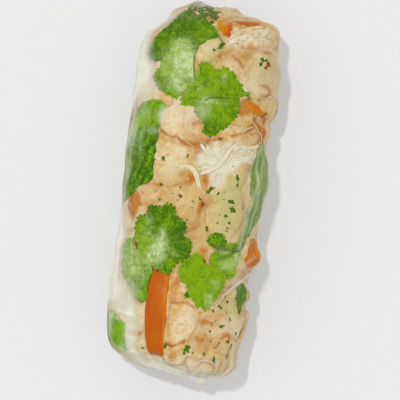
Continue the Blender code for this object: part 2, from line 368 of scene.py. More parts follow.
def poached_chicken(colours):
    """Poached chicken breast, pulled apart: moist matt fibres, paler along the grain, with
    brown cooking juices in the seams, the seams also darkened with painted shade, and a faint green
    tint where herbs have coloured it."""
    material, tree, shader = new_material(
        "poached_chicken", Roughness=0.55, Specular_IOR_Level=0.07, Coat_Weight=0.04, Coat_Roughness=0.3,
        Subsurface_Radius=(1.0, 0.65, 0.4), Subsurface_Weight=0.15, Subsurface_Scale=1.0 * MM,
    )
    field = {
        key: add_node(tree, ATTRIBUTE, attribute_name=key)["Fac"]
        for key in ("pale", "white", "seam", "juice", "stain", "green")
    }
    grain = add_node(tree, ATTRIBUTE, attribute_name="grain")["Vector"]
    run = add_node(tree, MAPPING, {"Vector": grain, "Scale": (0.22, 1.7, 1)})[0]
    place_on = add_node(tree, "ShaderNodeTexCoord")["Object"]
    # Fibre bundles about 0.6 mm thick and some 5 mm long, along the grain. Mottling of 1 to 3 mm,
    # browning in patches of about 5 mm, and specks of about half a millimetre.
    fibre, fine, broad, speck = (
        add_node(tree, NOISE, {"Vector": where, "Scale": scale, "Detail": detail})[0]
        for where, scale, detail in (
            (run, 1.0, 3.0), (place_on, 620.0, 6.0), (place_on, 210.0, 6.0), (place_on, 1500.0, 2.0)
        )
    )
    # The fibres and the mottling lighten the flesh on top of its own paleness, which also holds painted
    # light down the right side.
    by_fibre = add_node(tree, MATH, {0: fibre, 1: 0.8, 2: field["pale"]}, **TIMES_PLUS)[0]
    by_mottle = add_node(tree, MATH, {0: fine, 1: 2.4, 2: -1.47}, **TIMES_PLUS)[0]
    paler = add_node(tree, MATH, {0: by_fibre, 1: by_mottle}, **PLUS, **CLAMPED)[0]
    # Herbs tint it in patches, not evenly.
    herbed = add_node(tree, MATH, {0: broad, 1: 1.7}, **TIMES)[0]
    green = add_node(tree, MATH, {0: herbed, 1: field["green"]}, **TIMES, **CLAMPED)[0]
    # Juices: patchy stains, a scatter of fine specks, and firm lines along the edges of pieces.
    patchy = add_node(tree, MATH, {0: broad, 1: 3.1, 2: -0.75}, **TIMES_PLUS)[0]
    soaked = add_node(tree, MATH, {0: patchy, 1: field["stain"]}, **TIMES)[0]
    grains = add_node(tree, MATH, {0: fine, 1: 4.6, 2: -1.4}, **TIMES_PLUS, **CLAMPED)[0]
    grained = add_node(tree, MATH, {0: soaked, 1: grains}, **TIMES)[0]
    specked = add_node(tree, MATH, {0: speck, 1: 3.0, 2: -1.78}, **TIMES_PLUS, **CLAMPED)[0]
    browned = add_node(tree, MATH, {0: specked, 1: grained}, **PLUS, **CLAMPED)[0]
    dried = add_node(tree, MATH, {0: patchy, 1: field["juice"]}, **TIMES, **CLAMPED)[0]
    # Torn white shreds keep their colour, apart from faint shade between the fibres.
    shredded = add_node(tree, MATH, {0: fine, 1: 0.9, 2: 0.45}, **TIMES_PLUS)[0]
    whiter = add_node(tree, MATH, {0: shredded, 1: field["white"]}, **TIMES, **CLAMPED)[0]
    # Each tint lies over the ones before it. The seam tint is painted shade between the pieces.
    flesh = colours.chicken
    for share, above in (
        (paler, colours.chicken_pale_and_painted_light), (green, colours.chicken_herbed), (browned, colours.juices),
        (field["seam"], colours.chicken_seam_shade), (dried, colours.dried_juices),
        (whiter, colours.chicken_white),
    ):
        flesh = add_node(tree, MIX, {0: share, 6: flesh, 7: above}, **TINTS)[2]
    tree.links.new(flesh, shader.inputs["Base Color"])
    relief = add_node(tree, BUMP, {"Strength": 0.3, "Distance": 0.2 * MM, "Height": fibre})[0]
    pits = {"Strength": 0.16, "Distance": 0.15 * MM, "Height": fine, "Normal": relief}
    tree.links.new(add_node(tree, BUMP, pits)[0], shader.inputs["Normal"])
    return material


def soaked_rice_paper(colours):
    """Soaked rice paper: a wet, glossy skin, clear where it clings and milky where it stands off
    the filling or lies in folds."""
    material, tree, shader = new_material(
        "soaked_rice_paper", Base_Color=colours.paper, Roughness=0.35, IOR=1.45, Specular_IOR_Level=0.3,
        Coat_Weight=0.3, Coat_Roughness=0.25,
    )
    milk, cloudy = (
        add_node(tree, ATTRIBUTE, attribute_name=key)["Fac"] for key in ("milk", "cloudiness")
    )
    place_on = add_node(tree, "ShaderNodeTexCoord")["Object"]
    # Cloudiness of 2 to 4 mm, drawn out along the roll, down to grains of a few tenths.
    drawn = add_node(tree, MAPPING, {"Vector": place_on, "Scale": (1, 0.45, 1)})[0]
    clouds = {"Vector": drawn, "Scale": 420.0, "Detail": 6.0, "Roughness": 0.6}
    cloud = add_node(tree, NOISE, clouds)[0]
    veil = add_node(tree, MATH, {0: cloud, 1: cloudy, 2: milk}, **TIMES_PLUS, **CLAMPED)[0]
    tree.links.new(veil, shader.inputs["Alpha"])
    relief = add_node(tree, BUMP, {"Strength": 0.3, "Distance": 0.15 * MM, "Height": cloud})[0]
    tree.links.new(relief, shader.inputs["Normal"])
    return material


def fresh_leaf(name, dark, bright, vein_tint, frost_tint, stretch):
    """A fresh herb leaf, wet under the paper: satin, darker between its veins, and whitened in
    streaks: frosted where small bubbles of air lie between leaf and paper, and painted with
    whitish highlights."""
    material, tree, shader = new_material(
        name, Roughness=0.45, Specular_IOR_Level=0.03, Coat_Weight=0.03, Coat_Roughness=0.16
    )
    tone, vein, frost = (
        add_node(tree, ATTRIBUTE, attribute_name=key)["Fac"] for key in ("tone", "vein", "frost")
    )
    place_on = add_node(tree, "ShaderNodeTexCoord")["Object"]
    drawn = add_node(tree, MAPPING, {"Vector": place_on, "Scale": stretch})[0]
    # The net of small veins, about 2 mm across each mesh, with grain down to a few tenths. Between
    # them the blade is puckered in cells of under a millimetre. The frosting and the painted highlights
    # lie in streaks about a millimetre wide.
    net, cells, streak = (
        add_node(tree, NOISE, {"Vector": where, "Scale": scale, "Detail": detail, "Roughness": rough})[0]
        for where, scale, detail, rough in (
            (place_on, 520.0, 7.0, 0.78), (place_on, 1200.0, 2.0, 0.5), (drawn, 560.0, 6.0, 0.72)
        )
    )
    uneven = add_node(tree, MATH, {0: net, 1: 3.4, 2: -2.55}, **TIMES_PLUS)[0]
    grained = add_node(tree, MATH, {0: cells, 1: 1.7, 2: uneven}, **TIMES_PLUS)[0]
    share = add_node(tree, MATH, {0: tone, 1: grained}, **PLUS, **CLAMPED)[0]
    broken = add_node(tree, MATH, {0: streak, 1: 5.0, 2: -1.6}, **TIMES_PLUS)[0]
    cover = add_node(tree, MATH, {0: broken, 1: frost}, **TIMES, **CLAMPED)[0]
    leaf = dark
    for above_share, above in ((share, bright), (vein, vein_tint), (cover, frost_tint)):
        leaf = add_node(tree, MIX, {0: above_share, 6: leaf, 7: above}, **TINTS)[2]
    tree.links.new(leaf, shader.inputs["Base Color"])
    relief = add_node(tree, BUMP, {"Strength": 0.45, "Distance": 0.2 * MM, "Height": net})[0]
    tree.links.new(relief, shader.inputs["Normal"])
    return material


def raw_carrot(colours):
    """Raw carrot, freshly cut: moist and smooth, with faint paler streaks along its length and a
    lighter cut edge."""
    material, tree, shader = new_material(
        "raw_carrot", Roughness=0.45, Specular_IOR_Level=0.05, Coat_Weight=0.05, Coat_Roughness=0.2
    )
    tone = add_node(tree, ATTRIBUTE, attribute_name="tone")["Fac"]
    place_on = add_node(tree, "ShaderNodeTexCoord")["Object"]
    # Streaks about a millimetre wide and 6 mm long, and pores of half a millimetre.
    drawn = add_node(tree, MAPPING, {"Vector": place_on, "Scale": (1, 0.18, 1)})[0]
    streak = add_node(tree, NOISE, {"Vector": drawn, "Scale": 900.0, "Detail": 4.0})[0]
    pore = add_node(tree, NOISE, {"Vector": place_on, "Scale": 1500.0, "Detail": 3.0})[0]
    streaked = add_node(tree, MATH, {0: streak, 1: 1.3, 2: -0.65}, **TIMES_PLUS)[0]
    pitted = add_node(tree, MATH, {0: pore, 1: 0.9, 2: -0.45}, **TIMES_PLUS)[0]
    toned = add_node(tree, MATH, {0: tone, 1: streaked}, **PLUS)[0]
    share = add_node(tree, MATH, {0: toned, 1: pitted}, **PLUS, **CLAMPED)[0]
    layers = {0: share, 6: colours.carrot_deep, 7: colours.carrot_light}
    tree.links.new(add_node(tree, MIX, layers, **TINTS)[2], shader.inputs["Base Color"])
    relief = add_node(tree, BUMP, {"Strength": 0.3, "Distance": 0.15 * MM, "Height": streak})[0]
    tree.links.new(relief, shader.inputs["Normal"])
    return material


def small_piece(name, dark, light, roughness, grain):
    """A small scattered thing: a cut surface whose colour varies over half a millimetre."""
    material, tree, shader = new_material(name, Roughness=roughness, Specular_IOR_Level=0.05)
    place_on = add_node(tree, "ShaderNodeTexCoord")["Object"]
    uneven = add_node(tree, NOISE, {"Vector": place_on, "Scale": grain, "Detail": 3.0})[0]
    share = add_node(tree, MATH, {0: uneven, 1: 2.8, 2: -0.9}, **TIMES_PLUS, **CLAMPED)[0]
    layers = {0: share, 6: dark, 7: light}
    tree.links.new(add_node(tree, MIX, layers, **TINTS)[2], shader.inputs["Base Color"])
    relief = add_node(tree, BUMP, {"Strength": 0.3, "Distance": 0.15 * MM, "Height": uneven})[0]
    tree.links.new(relief, shader.inputs["Normal"])
    return material


# The filling. Places on the roll are given across and along, in millimetres.

# Bulges of the whole roll: across, along, half width, half length, and how far out.
BULGES = (
    (-34, 10, 10, 55, 0.8), (-34, 44, 9, 7, 1.0), (-34, -37, 9, 8, 0.9), (-34, -22, 8, 3, 0.8),
    (-34, 31, 9, 4, 0.3), (-34, 55.5, 24, 3.6, -1.8), (-34, 69, 22, 4, 1.3), (-34, 73.5, 40, 3, 1.1),
    (-34, -54, 20, 3.4, 0.8), (-34, -66, 24, 5.5, -1.1), (34, 43, 9, 4, 1.3), (34, 32, 9, 7, 2.1),
    (34, 23, 8, 2, 0.4), (34, 26.2, 8, 1.8, -1.0), (34, 17, 8, 3, -0.5), (34, 12.6, 8, 3, 0.8),
    (34, 6, 9, 5, 1.4), (34, -4, 9, 4, 0.2), (34, -11, 9, 3.4, 0.2), (34, -16, 9, 2.6, 0.2),
    (34, -20.5, 8, 3, 2.0), (34, -29, 9, 3, -1.5), (34, -33.4, 9, 2.6, 0.7), (34, -37.4, 8, 1.6, -0.9),
    (34, -43, 9, 4, 1.0), (34, -52, 9, 3, -0.5), (32, -57, 14, 3.4, 1.9), (34, -62.4, 22, 2.0, -1.1),
    (34, -67.4, 22, 3.4, 0.3), (34, -64.3, 14, 2.0, 2.1), (34, -72, 18, 2.6, 1.4), (10, -62, 6, 3, 0.6),
    (34, 56, 16, 2.4, 0.9), (34, 61.4, 28, 3.4, -1.7), (34, 65, 28, 2.6, -1.6), (34, 72.5, 24, 2.6, 2.1),
    (34, 69, 22, 2.4, 0.1), (34, 50, 9, 2.4, -0.6), (0, 18, 16, 9, -0.8), (6, 45, 16, 8, 0.5),
    (0, -2, 14, 8, 0.5), (-4, -30, 14, 6, -0.5), (10, -48, 14, 8, 0.5),
)

# Where cooking juices have browned the chicken, where it is pale (partly as painted light), where it is
# torn into white shreds, and where herbs have tinted it: across, along, half width, half length, and
# strength.
STAINS = (
    (5, 55.5, 5, 3.4, 1.3), (13, 57.5, 8, 1.8, 1.3), (-4, 60, 4, 2, 0.9), (14, 49, 9, 1.4, 0.5),
    (10, 46, 4, 3, 0.35), (4, 46, 4, 3, 0.2), (19, 42, 7, 5, 0.12), (15.6, 30.2, 3.6, 2.4, 2.2),
    (21.5, 24.6, 3.6, 3.6, 0.9), (25.4, 24, 2.4, 7, 1.0), (14, 22, 6, 3, 0.1), (2, 21, 5, 6, 0.45),
    (-5, 15.6, 2.6, 1.4, 1.2), (-2.4, 14.6, 2.6, 2, 0.7), (-8, 5.4, 4, 1.8, 0.3),
    (-1.4, 9.4, 2.6, 2.6, 0.35), (1, 14.6, 3, 4, 1.0), (-3, 4, 3.6, 2.6, 1.1), (4.4, 3.6, 1.8, 2.4, 1.1),
    (-17, 0, 5, 1.6, 0.25), (-22.8, -7.4, 2.4, 5, 2.6), (-19.6, -6.4, 3, 3.6, 0.9),
    (-12, -3, 6, 2.4, 0.4), (3.8, -4.6, 1.3, 2.2, 1.5), (-2.6, 21.5, 4, 3.4, 0.7), (-2, -9, 9, 6, 0.5),
    (2, -15, 5, 4.4, 0.8), (7, -21, 2, 2.4, 1.1), (-2, -34, 2, 4, 1.0), (9, -44, 5, 3, 0.7),
    (15, -42, 6, 4, 0.4), (12, -50, 6, 2.4, 0.9), (4, 47, 5, 3, 0.3), (20, -48.6, 2.4, 1.4, 0.9),
    (25, -41, 2, 1.4, 0.8), (0, -57, 1.6, 2.4, 1.2), (22, -54, 5, 5, 0.15), (-23, -41, 2.4, 1.8, 1.1),
    (-16, -41, 2.6, 2, 0.6), (-15, -50, 3, 1.2, 0.6), (-27, 44, 1.6, 2.6, 0.9),
    (27.5, -20.5, 2.6, 5, 1.2), (24, -27, 4, 3, 0.9), (17, -33, 3, 3, 0.8), (19.6, -10, 1.2, 8, 0.15),
    (30, 14, 5, 5, 0.5), (50, 30, 8, 12, 0.5), (58, -15, 8, 14, 0.5), (45, -45, 6, 10, 0.5),
    (-55, 20, 8, 16, 0.4), (-10, 4, 5, 3, 0.3), (14, -36, 4, 2, 0.6),
)
PALES_AND_PAINTED_LIGHT = (
    (-9, 25, 8, 6, 0.45), (-10, 11, 6, 5, 0.7), (-11, 4.8, 5, 2.8, 0.6), (3, -45, 5, 6, 0.6),
    (2, -32, 3, 4, 0.5), (-24, -2, 6, 60, 0.6), (-22, -50, 9, 12, 0.7), (8, -60, 16, 4, 1.0),
    (7.5, 44.5, 4, 3.4, 0.5), (20, 43, 8, 7, 0.55), (16, -24, 3, 3, 0.5), (24, -36, 4, 7, 0.7),
    # On the next line, the long strip down the right side (30, -4) is painted light: it lightens chicken
    # that turns away from the key light.
    (15, 54, 10, 3.4, 0.6), (-6, -4, 5, 3, 0.2), (30, -4, 8, 70, 0.4), (14, -44, 9, 6, 0.6),
    (22, -46, 6, 8, 0.5), (15, -12, 5, 5, 0.6), (-8, 24, 7, 5, 0.25), (16, 38, 5, 4, 0.4),
)
WHITES = (
    (7, 12.2, 5.6, 3.8, 1.4), (9, 6, 2.9, 4, 1.2), (14.5, 14.8, 5, 3.6, 1.1), (3, 10, 4, 2.2, 0.8),
    (18.6, 14, 3.4, 3.4, 0.6), (12, 11, 4, 2.6, 0.9), (15, 54, 8, 2.0, 0.5), (8, 51.6, 4, 1.4, 0.5),
    (-1, 49, 3, 3, 0.25),
)
GREENS = (
    (15.4, -7, 8, 8.8, 1.3), (22.6, -19.5, 2, 2, 0.8), (22, 43, 8, 6, 0.6), (25, 36, 5, 8, 0.35),
    (24, -36, 5, 6, 1.5), (17.6, 2, 4.6, 5, 1.8), (11.5, -1, 4, 3, 0.8), (28, 28, 6, 8, 0.3),
    (19, 2, 3, 5, 1.0), (24.5, 47, 2.6, 3, 0.8), (-8, 28, 3, 3, 0.4), (18, -38, 4, 4, 1.1),
    (20.5, -6, 2.6, 9, 1.3), (-10.5, 4.6, 4, 2.6, 0.4), (21, -50, 8, 6, 0.2), (2, 47, 5, 4, 1.5),
    (2.6, -16, 5.4, 5, 1.0), (-0.8, 3.4, 3, 2.6, 0.6), (11.5, 4.4, 3, 3, 0.6), (-7, 8.4, 5, 3, 0.4),
    (-18, 66, 12, 4, 1.6), (-2, -8, 8, 6, 0.35),
)
# Where one broad piece lies smooth, without seams: across, along, half width, half length, strength.
SMOOTH = (
    (22, 44, 8, 8, 1.0), (14, 53, 12, 3, 0.8), (15, -8, 6, 9, 0.9), (3, -45, 5, 6, 0.6),
    (16, -45, 7, 6, 0.5),
)
# Edges between pieces where the juices have dried, and lines under folds in the paper where the
# chicken is browner: points across and along, half width, strength.
JUICE_LINES = (
    (((-16, 19), (-12, 17), (-9.5, 17.5), (-7, 15.5), (-4, 15), (-1.5, 16)), 0.55, 1.1),
    (((3.5, 46.5), (4.6, 48), (7.4, 48), (9.5, 46.5), (11, 45.7), (12.5, 44)), 0.7, 0.9),
    (((20.7, 38.4), (24, 38.6), (26.6, 37), (25, 35), (22, 35)), 0.5, 1.0),
    (((-24.8, -3), (-25, -8), (-23.6, -12)), 1.0, 1.0),
    (((8.5, 18.5), (4, 17.5), (1, 13.5), (-1, 11)), 0.9, 0.8),
    (((2.6, 6.2), (4.6, 5.2), (5, 1.6)), 0.7, 0.7), (((13.6, 17.4), (11.2, 15), (10.2, 13)), 0.35, 0.8),
    # This line and the next three run under folds in the paper.
    (((24.6, -21), (26.4, -26), (21, -30), (17, -33)), 0.6, 1.0),
    (((29, -24), (24, -28.4), (18, -33)), 0.5, 0.7),
    (((12.4, -58), (14, -55.8), (18, -56), (19.6, -58.4)), 0.4, 0.8),
    (((23.4, -52), (25, -55), (23.6, -60)), 0.4, 0.7),
    (((20, 27), (23, 25), (25.4, 21.4), (24.6, 17)), 0.5, 1.1),
    (((12, 20), (18, 22), (23, 26)), 0.4, 0.8),
    (((-23, -1), (-18, 0.4), (-14, 0.2), (-9, 0.4), (-5, 1.4)), 0.45, 0.5),
    (((-3, -52.3), (-0.6, -53), (1.7, -52.2), (4, -51)), 0.5, 1.2),
    (((-3, -38.8), (0.6, -38.7), (3.4, -38.4), (7, -40)), 0.4, 0.8),
    (((4.6, 51.1), (10, 50.2), (15, 50.2), (21, 49.8), (25, 49.5)), 0.5, 0.55),
    (((20, 21.5), (23.5, 22.6), (25.3, 20.6), (22.2, 17.8), (19.3, 18.4), (18.6, 20.5)), 0.4, 0.7),
    (((17, 33.5), (20, 30.5), (23.5, 28.6), (26.7, 27), (27.5, 22), (25, 18)), 0.7, 0.9),
    (((12, 24), (16, 23.5), (21, 25)), 0.4, 0.5), (((-3, 19), (0, 15.5), (2.4, 12), (3, 9)), 0.6, 0.5),
    (((-6, 5), (-3, 6), (-0.8, 4.2), (-1.6, 2)), 0.6, 0.6),
    (((6, -2), (5.6, -6), (6, -10), (8, -14)), 0.5, 0.5),
    (((21, 0), (22, -5), (21, -10), (18, -14)), 0.7, 0.5),
    (((7, -38), (9, -42), (7.5, -47), (5, -51)), 0.5, 0.5),
    (((-4, -31), (-3, -39), (-3.2, -46), (-2, -51)), 0.5, 0.4),
)


def near_lines(lines, across, along):
    """Soft lines: each is its points across and along, a half width in millimetres and a strength."""
    total = np.zeros_like(across)
    x, y = across / MM, along / MM
    for points, wide, strength in lines:
        nearest = np.full_like(total, 1e3)
        for (x0, y0), (x1, y1) in zip(points, points[1:]):
            run, rise = x1 - x0, y1 - y0
            share = np.clip(((x - x0) * run + (y - y0) * rise) / (run * run + rise * rise), 0, 1)
            nearest = np.minimum(nearest, np.hypot(x - x0 - share * run, y - y0 - share * rise))
        total = np.maximum(total, strength * np.exp(-((nearest / wide) ** 2)))
    return total


def add_to_top(made):
    """Raises the top of the filling to the pieces just laid on it."""
    found = cast(made)
    shape["top"] = np.where(found > 0, np.maximum(shape["top"], found - shape["outside"]), shape["top"])


def chicken_seeds():
    """Middles of the chicken pieces: those of the CAD slices, then more all round the rest."""
    along, around = laid_out([middle_of(node) for node in CHICKEN_NODES])
    dice = np.random.default_rng(7)
    # Staggered rows 12 mm apart of pieces 11 mm apart, thinned out in the first and last row.
    for row, far in enumerate(np.arange(-66, 67, 12)):
        for column in range(5):
            if abs(far) < 63 or column % 2:
                across = 44 + (column + 0.5 * (row % 2)) * 11 + dice.uniform(-2, 2)
                along = np.append(along, (far + dice.uniform(-2, 2)) * MM)
                around = np.append(around, turned(across * MM))
    # Four more close up each end.
    for end in (-1, 1):
        for column in range(4):
            along = np.append(along, end * (66 + dice.uniform(-1, 2)) * MM)
            around = np.append(around, math.radians(20 + 47 * column))
    return along, around


class ROLL_OT_chicken(bpy.types.Operator):
    """Packed chicken: pulled pieces pressed together, with seams between them and a grain in each"""

    bl_idname = "roll.chicken"
    bl_label = "Packed chicken"

    def execute(self, context):
        across = plan_across(GRID_AROUND)
        outside = blur(cast([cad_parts["wrapper"]]), 2.2 * MM)
        outside += patch(BULGES, across, GRID_ALONG) * MM
        # Each point belongs to the nearest middle, over warped ground, so that edges wander.
        ground = place(GRID_ALONG, GRID_AROUND, outside - 2 * MM)
        warp = np.stack([ripple(ground, 6 * MM, s) for s in (1, 2, 3)], -1) * 4.5 * MM
        warp += np.stack([ripple(ground, 1.7 * MM, s) for s in (4, 5, 6)], -1) * 0.7 * MM
        along, around = chicken_seeds()
        seeds = place(along, around, sample(outside, along, around) - 2 * MM)
        tree = kdtree.KDTree(len(seeds))
        for i, seed in enumerate(seeds):
            tree.insert(seed, i)
        tree.balance()
        nearest = [tree.find_n(Vector(p), 2) for p in (ground + warp).reshape(-1, 3)]
        piece = np.array([n[0][1] for n in nearest]).reshape(ROWS, COLUMNS)
        edge = np.array([n[1][2] - n[0][2] for n in nearest]).reshape(ROWS, COLUMNS) / 2
        # Each piece has a heading, fibres that run along it, and a height of its own.
        dice = np.random.default_rng(11)
        heading = dice.uniform(0, math.pi, len(seeds))[piece]
        run = (GRID_ALONG * np.cos(heading) + across * np.sin(heading)) / MM
        over = (across * np.cos(heading) - GRID_ALONG * np.sin(heading)) / MM
        grain = np.stack([run, over + 1.6 * ripple(ground, 7 * MM, 8), piece * 7.0], -1)
        fibres = ripple(grain * (0.13, 0.9, 1.0), 1.0, 9) + 0.6 * ripple(grain * (0.26, 2.0, 1.0), 1.0, 10)
        lifted = dice.uniform(-0.45, 0.45, len(seeds))[piece]
        # Seams are open here and there, and closed where one broad piece lies smooth.
        closed = np.clip(patch(SMOOTH, across, GRID_ALONG), 0, 1)
        open_seam = np.clip(0.45 + 1.1 * ripple(ground, 8 * MM, 15), 0.08, 1) * (1 - closed)
        seam = np.exp(-edge / (0.6 * MM)) * open_seam
        lines = near_lines(JUICE_LINES, across, GRID_ALONG)
        # Pieces round off towards their edges and dip at seams and dried edges.
        rounded = np.exp(-edge / (2.6 * MM))
        height = -0.6 * MM + (lifted * (1 - np.exp(-edge / (1.2 * MM))) - 0.7 * seam - 0.75 * rounded) * MM
        height += (0.11 * fibres + 0.45 * ripple(ground, 4.5 * MM, 12) - 0.45 * lines) * MM
        # The carrot is let in, and nothing goes below the flattened underside.
        strips = cast([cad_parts[n] for n in ("carrot_baton", "carrot_peg")])
        height -= CARROT_BED * np.clip(blur((strips > 0).astype(float), 0.4 * MM) * 2 - 0.4, 0, 1)
        radius = np.minimum(outside + height, down_to(FILLING_FLOOR))
        # Colour: stains and paleness drift with the edges, and white shreds fan out of the tuft. The seams
        # get painted shade, and part of the paleness is painted light.
        drift, small_drift = 0.35 * warp, 0.25 * warp
        stain = patch(STAINS, across + drift[..., 0], GRID_ALONG + drift[..., 1])
        pale = patch(PALES_AND_PAINTED_LIGHT, across + drift[..., 0], GRID_ALONG + drift[..., 1])
        white = patch(WHITES, across + small_drift[..., 0], GRID_ALONG + small_drift[..., 1])
        fan = np.arctan2(across / MM - TUFT[0], GRID_ALONG / MM - TUFT[1])
        white *= 1 + 0.25 * ripple(np.stack([7 * fan, 0.12 * GRID_ALONG / MM, 0 * fan], -1), 1.0, 16)
        pale += dice.uniform(0.0, 0.35, len(seeds))[piece] + 0.25 * ripple(ground, 3.5 * MM, 13)
        stain *= 1 + 0.5 * ripple(grain * (0.22, 1.3, 1.0), 1.0, 17)
        stain += 0.25 * np.clip(ripple(ground, 7 * MM, 14), 0, 1)
        item = whole_skin(
            "packed_chicken", radius, poached_chicken(context.scene.roll_colours), grain=grain,
            seam=np.clip(seam * 0.9 - 0.15, 0, 0.6), juice=lines, pale=pale, white=np.clip(white, 0, 1),
            stain=stain, green=patch(GREENS, across, GRID_ALONG),
        )
        keep(item, ["filling_core", *CHICKEN_NODES])
        shape.update(outside=outside, top=radius - outside, grain=heading, chicken=item)
        return {"FINISHED"}


def smooth_path(points, steps):
    """A smooth curve through these points, in even steps."""
    points = np.asarray(points, float)
    ends = np.concatenate([[2 * points[0] - points[1]], points, [2 * points[-1] - points[-2]]])
    share = np.linspace(0, len(points) - 1.0001, steps)
    first = share.astype(int)
    t = (share - first)[:, None]
    p0, p1, p2, p3 = (ends[first + k] for k in range(4))
    bend = (2 * p0 - 5 * p1 + 4 * p2 - p3) * t**2
    return 0.5 * (2 * p1 + (p2 - p0) * t + bend + (3 * (p1 - p2) + p3 - p0) * t**3)


def strand(points, wide, lift, bed, dice, flat=0.36, steps=16):
    """A tapered strand along these points on the bed: its line, half widths, half heights and ups."""
    share = np.linspace(0, 1, steps)
    plan = smooth_path(points, steps) * MM
    around = turned(plan[:, 0])
    taper = np.sin(math.pi * np.clip(share * 0.94 + 0.03, 0, 1)) ** 0.4
    high = wide * flat * taper * MM
    radius = sample(bed, plan[:, 1], around) + high * 0.5 + lift * MM * np.sin(math.pi * share)
    line = place(plan[:, 1], around, radius)
    ups = rays(plan[:, 1], around)[1]
    wobble = 1 + 0.14 * np.sin(share * 9 + dice.uniform(0, 6))
    return line, wide / 2 * taper * wobble * MM, high, ups


# Strands given one by one: points across and along, width, flatness, lift, and how white.
STRANDS = (
    (((14.8, 18.4), (12.6, 15.6), (10.4, 12), (7.8, 8.8), (4.4, 6.9), (1.8, 5.8)), 1.6, 0.16, 0.25, 0.9),
    (((16.6, 17.4), (13.9, 14.6), (11.8, 11.4), (9.4, 9.4), (6.6, 8.4)), 0.8, 0.18, 0.2, 0.8),
    (((-7.6, 7.1), (-4.8, 8.2), (-1.6, 7.6), (0.6, 5.6), (1.8, 3.2), (2.7, 0.6)), 1.0, 0.2, 0.25, 0.7),
    (((-7, 6.6), (-4.7, 7.6), (-2.0, 7.0), (0.0, 5.1), (1.2, 2.9), (1.9, 0.6)), 1.0, 0.16, 0.1, 0.5),
    (((5.4, 49.8), (8, 51.6), (13, 53.2), (19, 54), (25, 53.4)), 2.2, 0.05, 0.0, 0.4),
    (((6, 51.6), (10, 54.2), (15, 55.6), (21, 56.2)), 1.8, 0.05, 0.0, 0.2),
    (((20, 22.4), (24.4, 22.4), (25.4, 19.6), (22, 17.6)), 0.6, 0.4, 0.2, 0.1),
    (((12, 23.6), (17, 23), (22, 25)), 0.5, 0.4, 0.1, 0.1),
    (((17, 27), (22, 24), (25, 19)), 0.6, 0.4, 0.2, 0.0),
    (((10.7, -58.4), (11.6, -56.2), (14, -55.2), (17.4, -55.6), (19.4, -57)), 0.7, 0.4, 0.4, 0.3),
)
# Bundles of torn fibres: middle across and along, spread both ways, least and most heading in
# degrees from the far end, least and most length, least and most width, lift, how white, how many.
BUNDLES = (
    (6, 12, 2.4, 1.8, -78, 20, 2, 4.4, 0.7, 1.6, 0.0, 1.0, 16),
    (9.2, 7, 1.6, 2, 160, 204, 2.4, 5, 0.7, 1.6, 0.0, 1.0, 12),
    (15, 13.6, 4, 2.4, 56, 104, 4, 9, 0.8, 1.8, 0.0, 0.8, 16),
    (4, 9, 2, 1, 246, 276, 2.4, 5, 0.6, 1.2, 0.0, 0.9, 6),
    (10, 14.6, 3, 1.6, 6, 44, 2, 4.4, 0.7, 1.4, 0.0, 0.8, 10),
    (13, 52.6, 8, 1.8, 68, 82, 5, 10, 1.2, 2.4, 0.0, 0.3, 5),
)


class ROLL_OT_strands(bpy.types.Operator):
    """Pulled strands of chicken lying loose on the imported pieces"""

    bl_idname = "roll.strands"
    bl_label = "Chicken strands"

    def execute(self, context):
        bed = shape["outside"] + blur(shape["top"], 0.8 * MM)
        dice = np.random.default_rng(21)
        paths = [strand(points, wide, lift, bed, dice, flat) for points, wide, flat, lift, _ in STRANDS]
        white = [share for *_, share in STRANDS]
        # Each strand of a bundle sets off near its middle and bends a little at every third.
        for bundle in BUNDLES:
            across, along, aside, ahead, low, high, short, long, thin, wide, lift, share, count = bundle
            for _ in range(count):
                turn = math.radians(dice.uniform(low, high)) + np.array([0, 0.5, 1]) * dice.normal(0, 0.35)
                step = dice.uniform(short, long) / 3 * np.stack([np.sin(turn), np.cos(turn)], -1)
                start = (across + dice.normal(0, aside / 2), along + dice.normal(0, ahead / 2))
                points = np.concatenate([[start], start + np.cumsum(step, 0)])
                breadth, raised = dice.uniform(thin, wide), lift * dice.random()
                paths.append(strand(points, breadth, raised, bed, dice, 0.08, 9))
                white.append(share * dice.uniform(0.6, 1.0))
        # Fine strands anywhere on the upper half, along the grain of the piece they lie on.
        for _ in range(context.scene.roll_sizes.strand_count):
            across, along = dice.uniform(-32, 60), dice.uniform(-58, 58)
            heading = sample(shape["grain"], along * MM, np.array(turned(across * MM)))
            turn = heading + dice.normal(0, 0.25) + np.array([0, 1, 2]) * dice.normal(0, 0.25)
            step = dice.uniform(1.2, 3.2) * np.stack([np.sin(turn), np.cos(turn)], -1)
            points = np.cumsum(step, 0) + (across, along) - step[0] * 2
            paths.append(strand(points, dice.uniform(0.3, 0.7), 0.0, bed, dice, 0.14, 7))
            white.append(0.3 * float(patch(WHITES, np.array(across * MM), np.array(along * MM))))
        grain = [np.array([0.0, number * 3.7, 5.0]) for number in range(len(paths))]
        pale = [0.3 + 0.5 * share for share in white]
        item = swept(
            "chicken_strands", paths, shape["chicken"].data.materials[0], pale=pale, white=white, grain=grain
        )
        keep(item)
        add_to_top([item])
        return {"FINISHED"}


# The carrot by CAD node: shift across and along, width, length, turn in degrees, bow, top,
# thickness, tone, how square its corners are, how ragged, and how much lighter one side is.
CARROTS = {
    "carrot_baton": (1.2, 0.2, 8.5, 28.4, 4, 0.9, -0.5, 4.0, 0.1, 8, 0.02, 0.0),
    "carrot_peg": (0.4, 0.6, 12.4, 10.4, 24, 0.6, 0.7, 3.2, 0.7, 3, 0.03, 0.3),
    "carrot_shred_1": (-2.6, -0.7, 6.6, 5.4, -34, 0.3, 0.1, 1.5, 0.6, 2.2, 0.13, -0.8),
    "carrot_shred_2": (-1.6, -0.7, 2.2, 13, 86, 0.4, 0.1, 1.4, 0.3, 1.7, 0.1, 0.0),
    "carrot_shred_3": (0.9, -0.9, 3.4, 10.4, 68, 0.7, 0.1, 1.5, 0.8, 1.4, 0.1, -0.4),
}


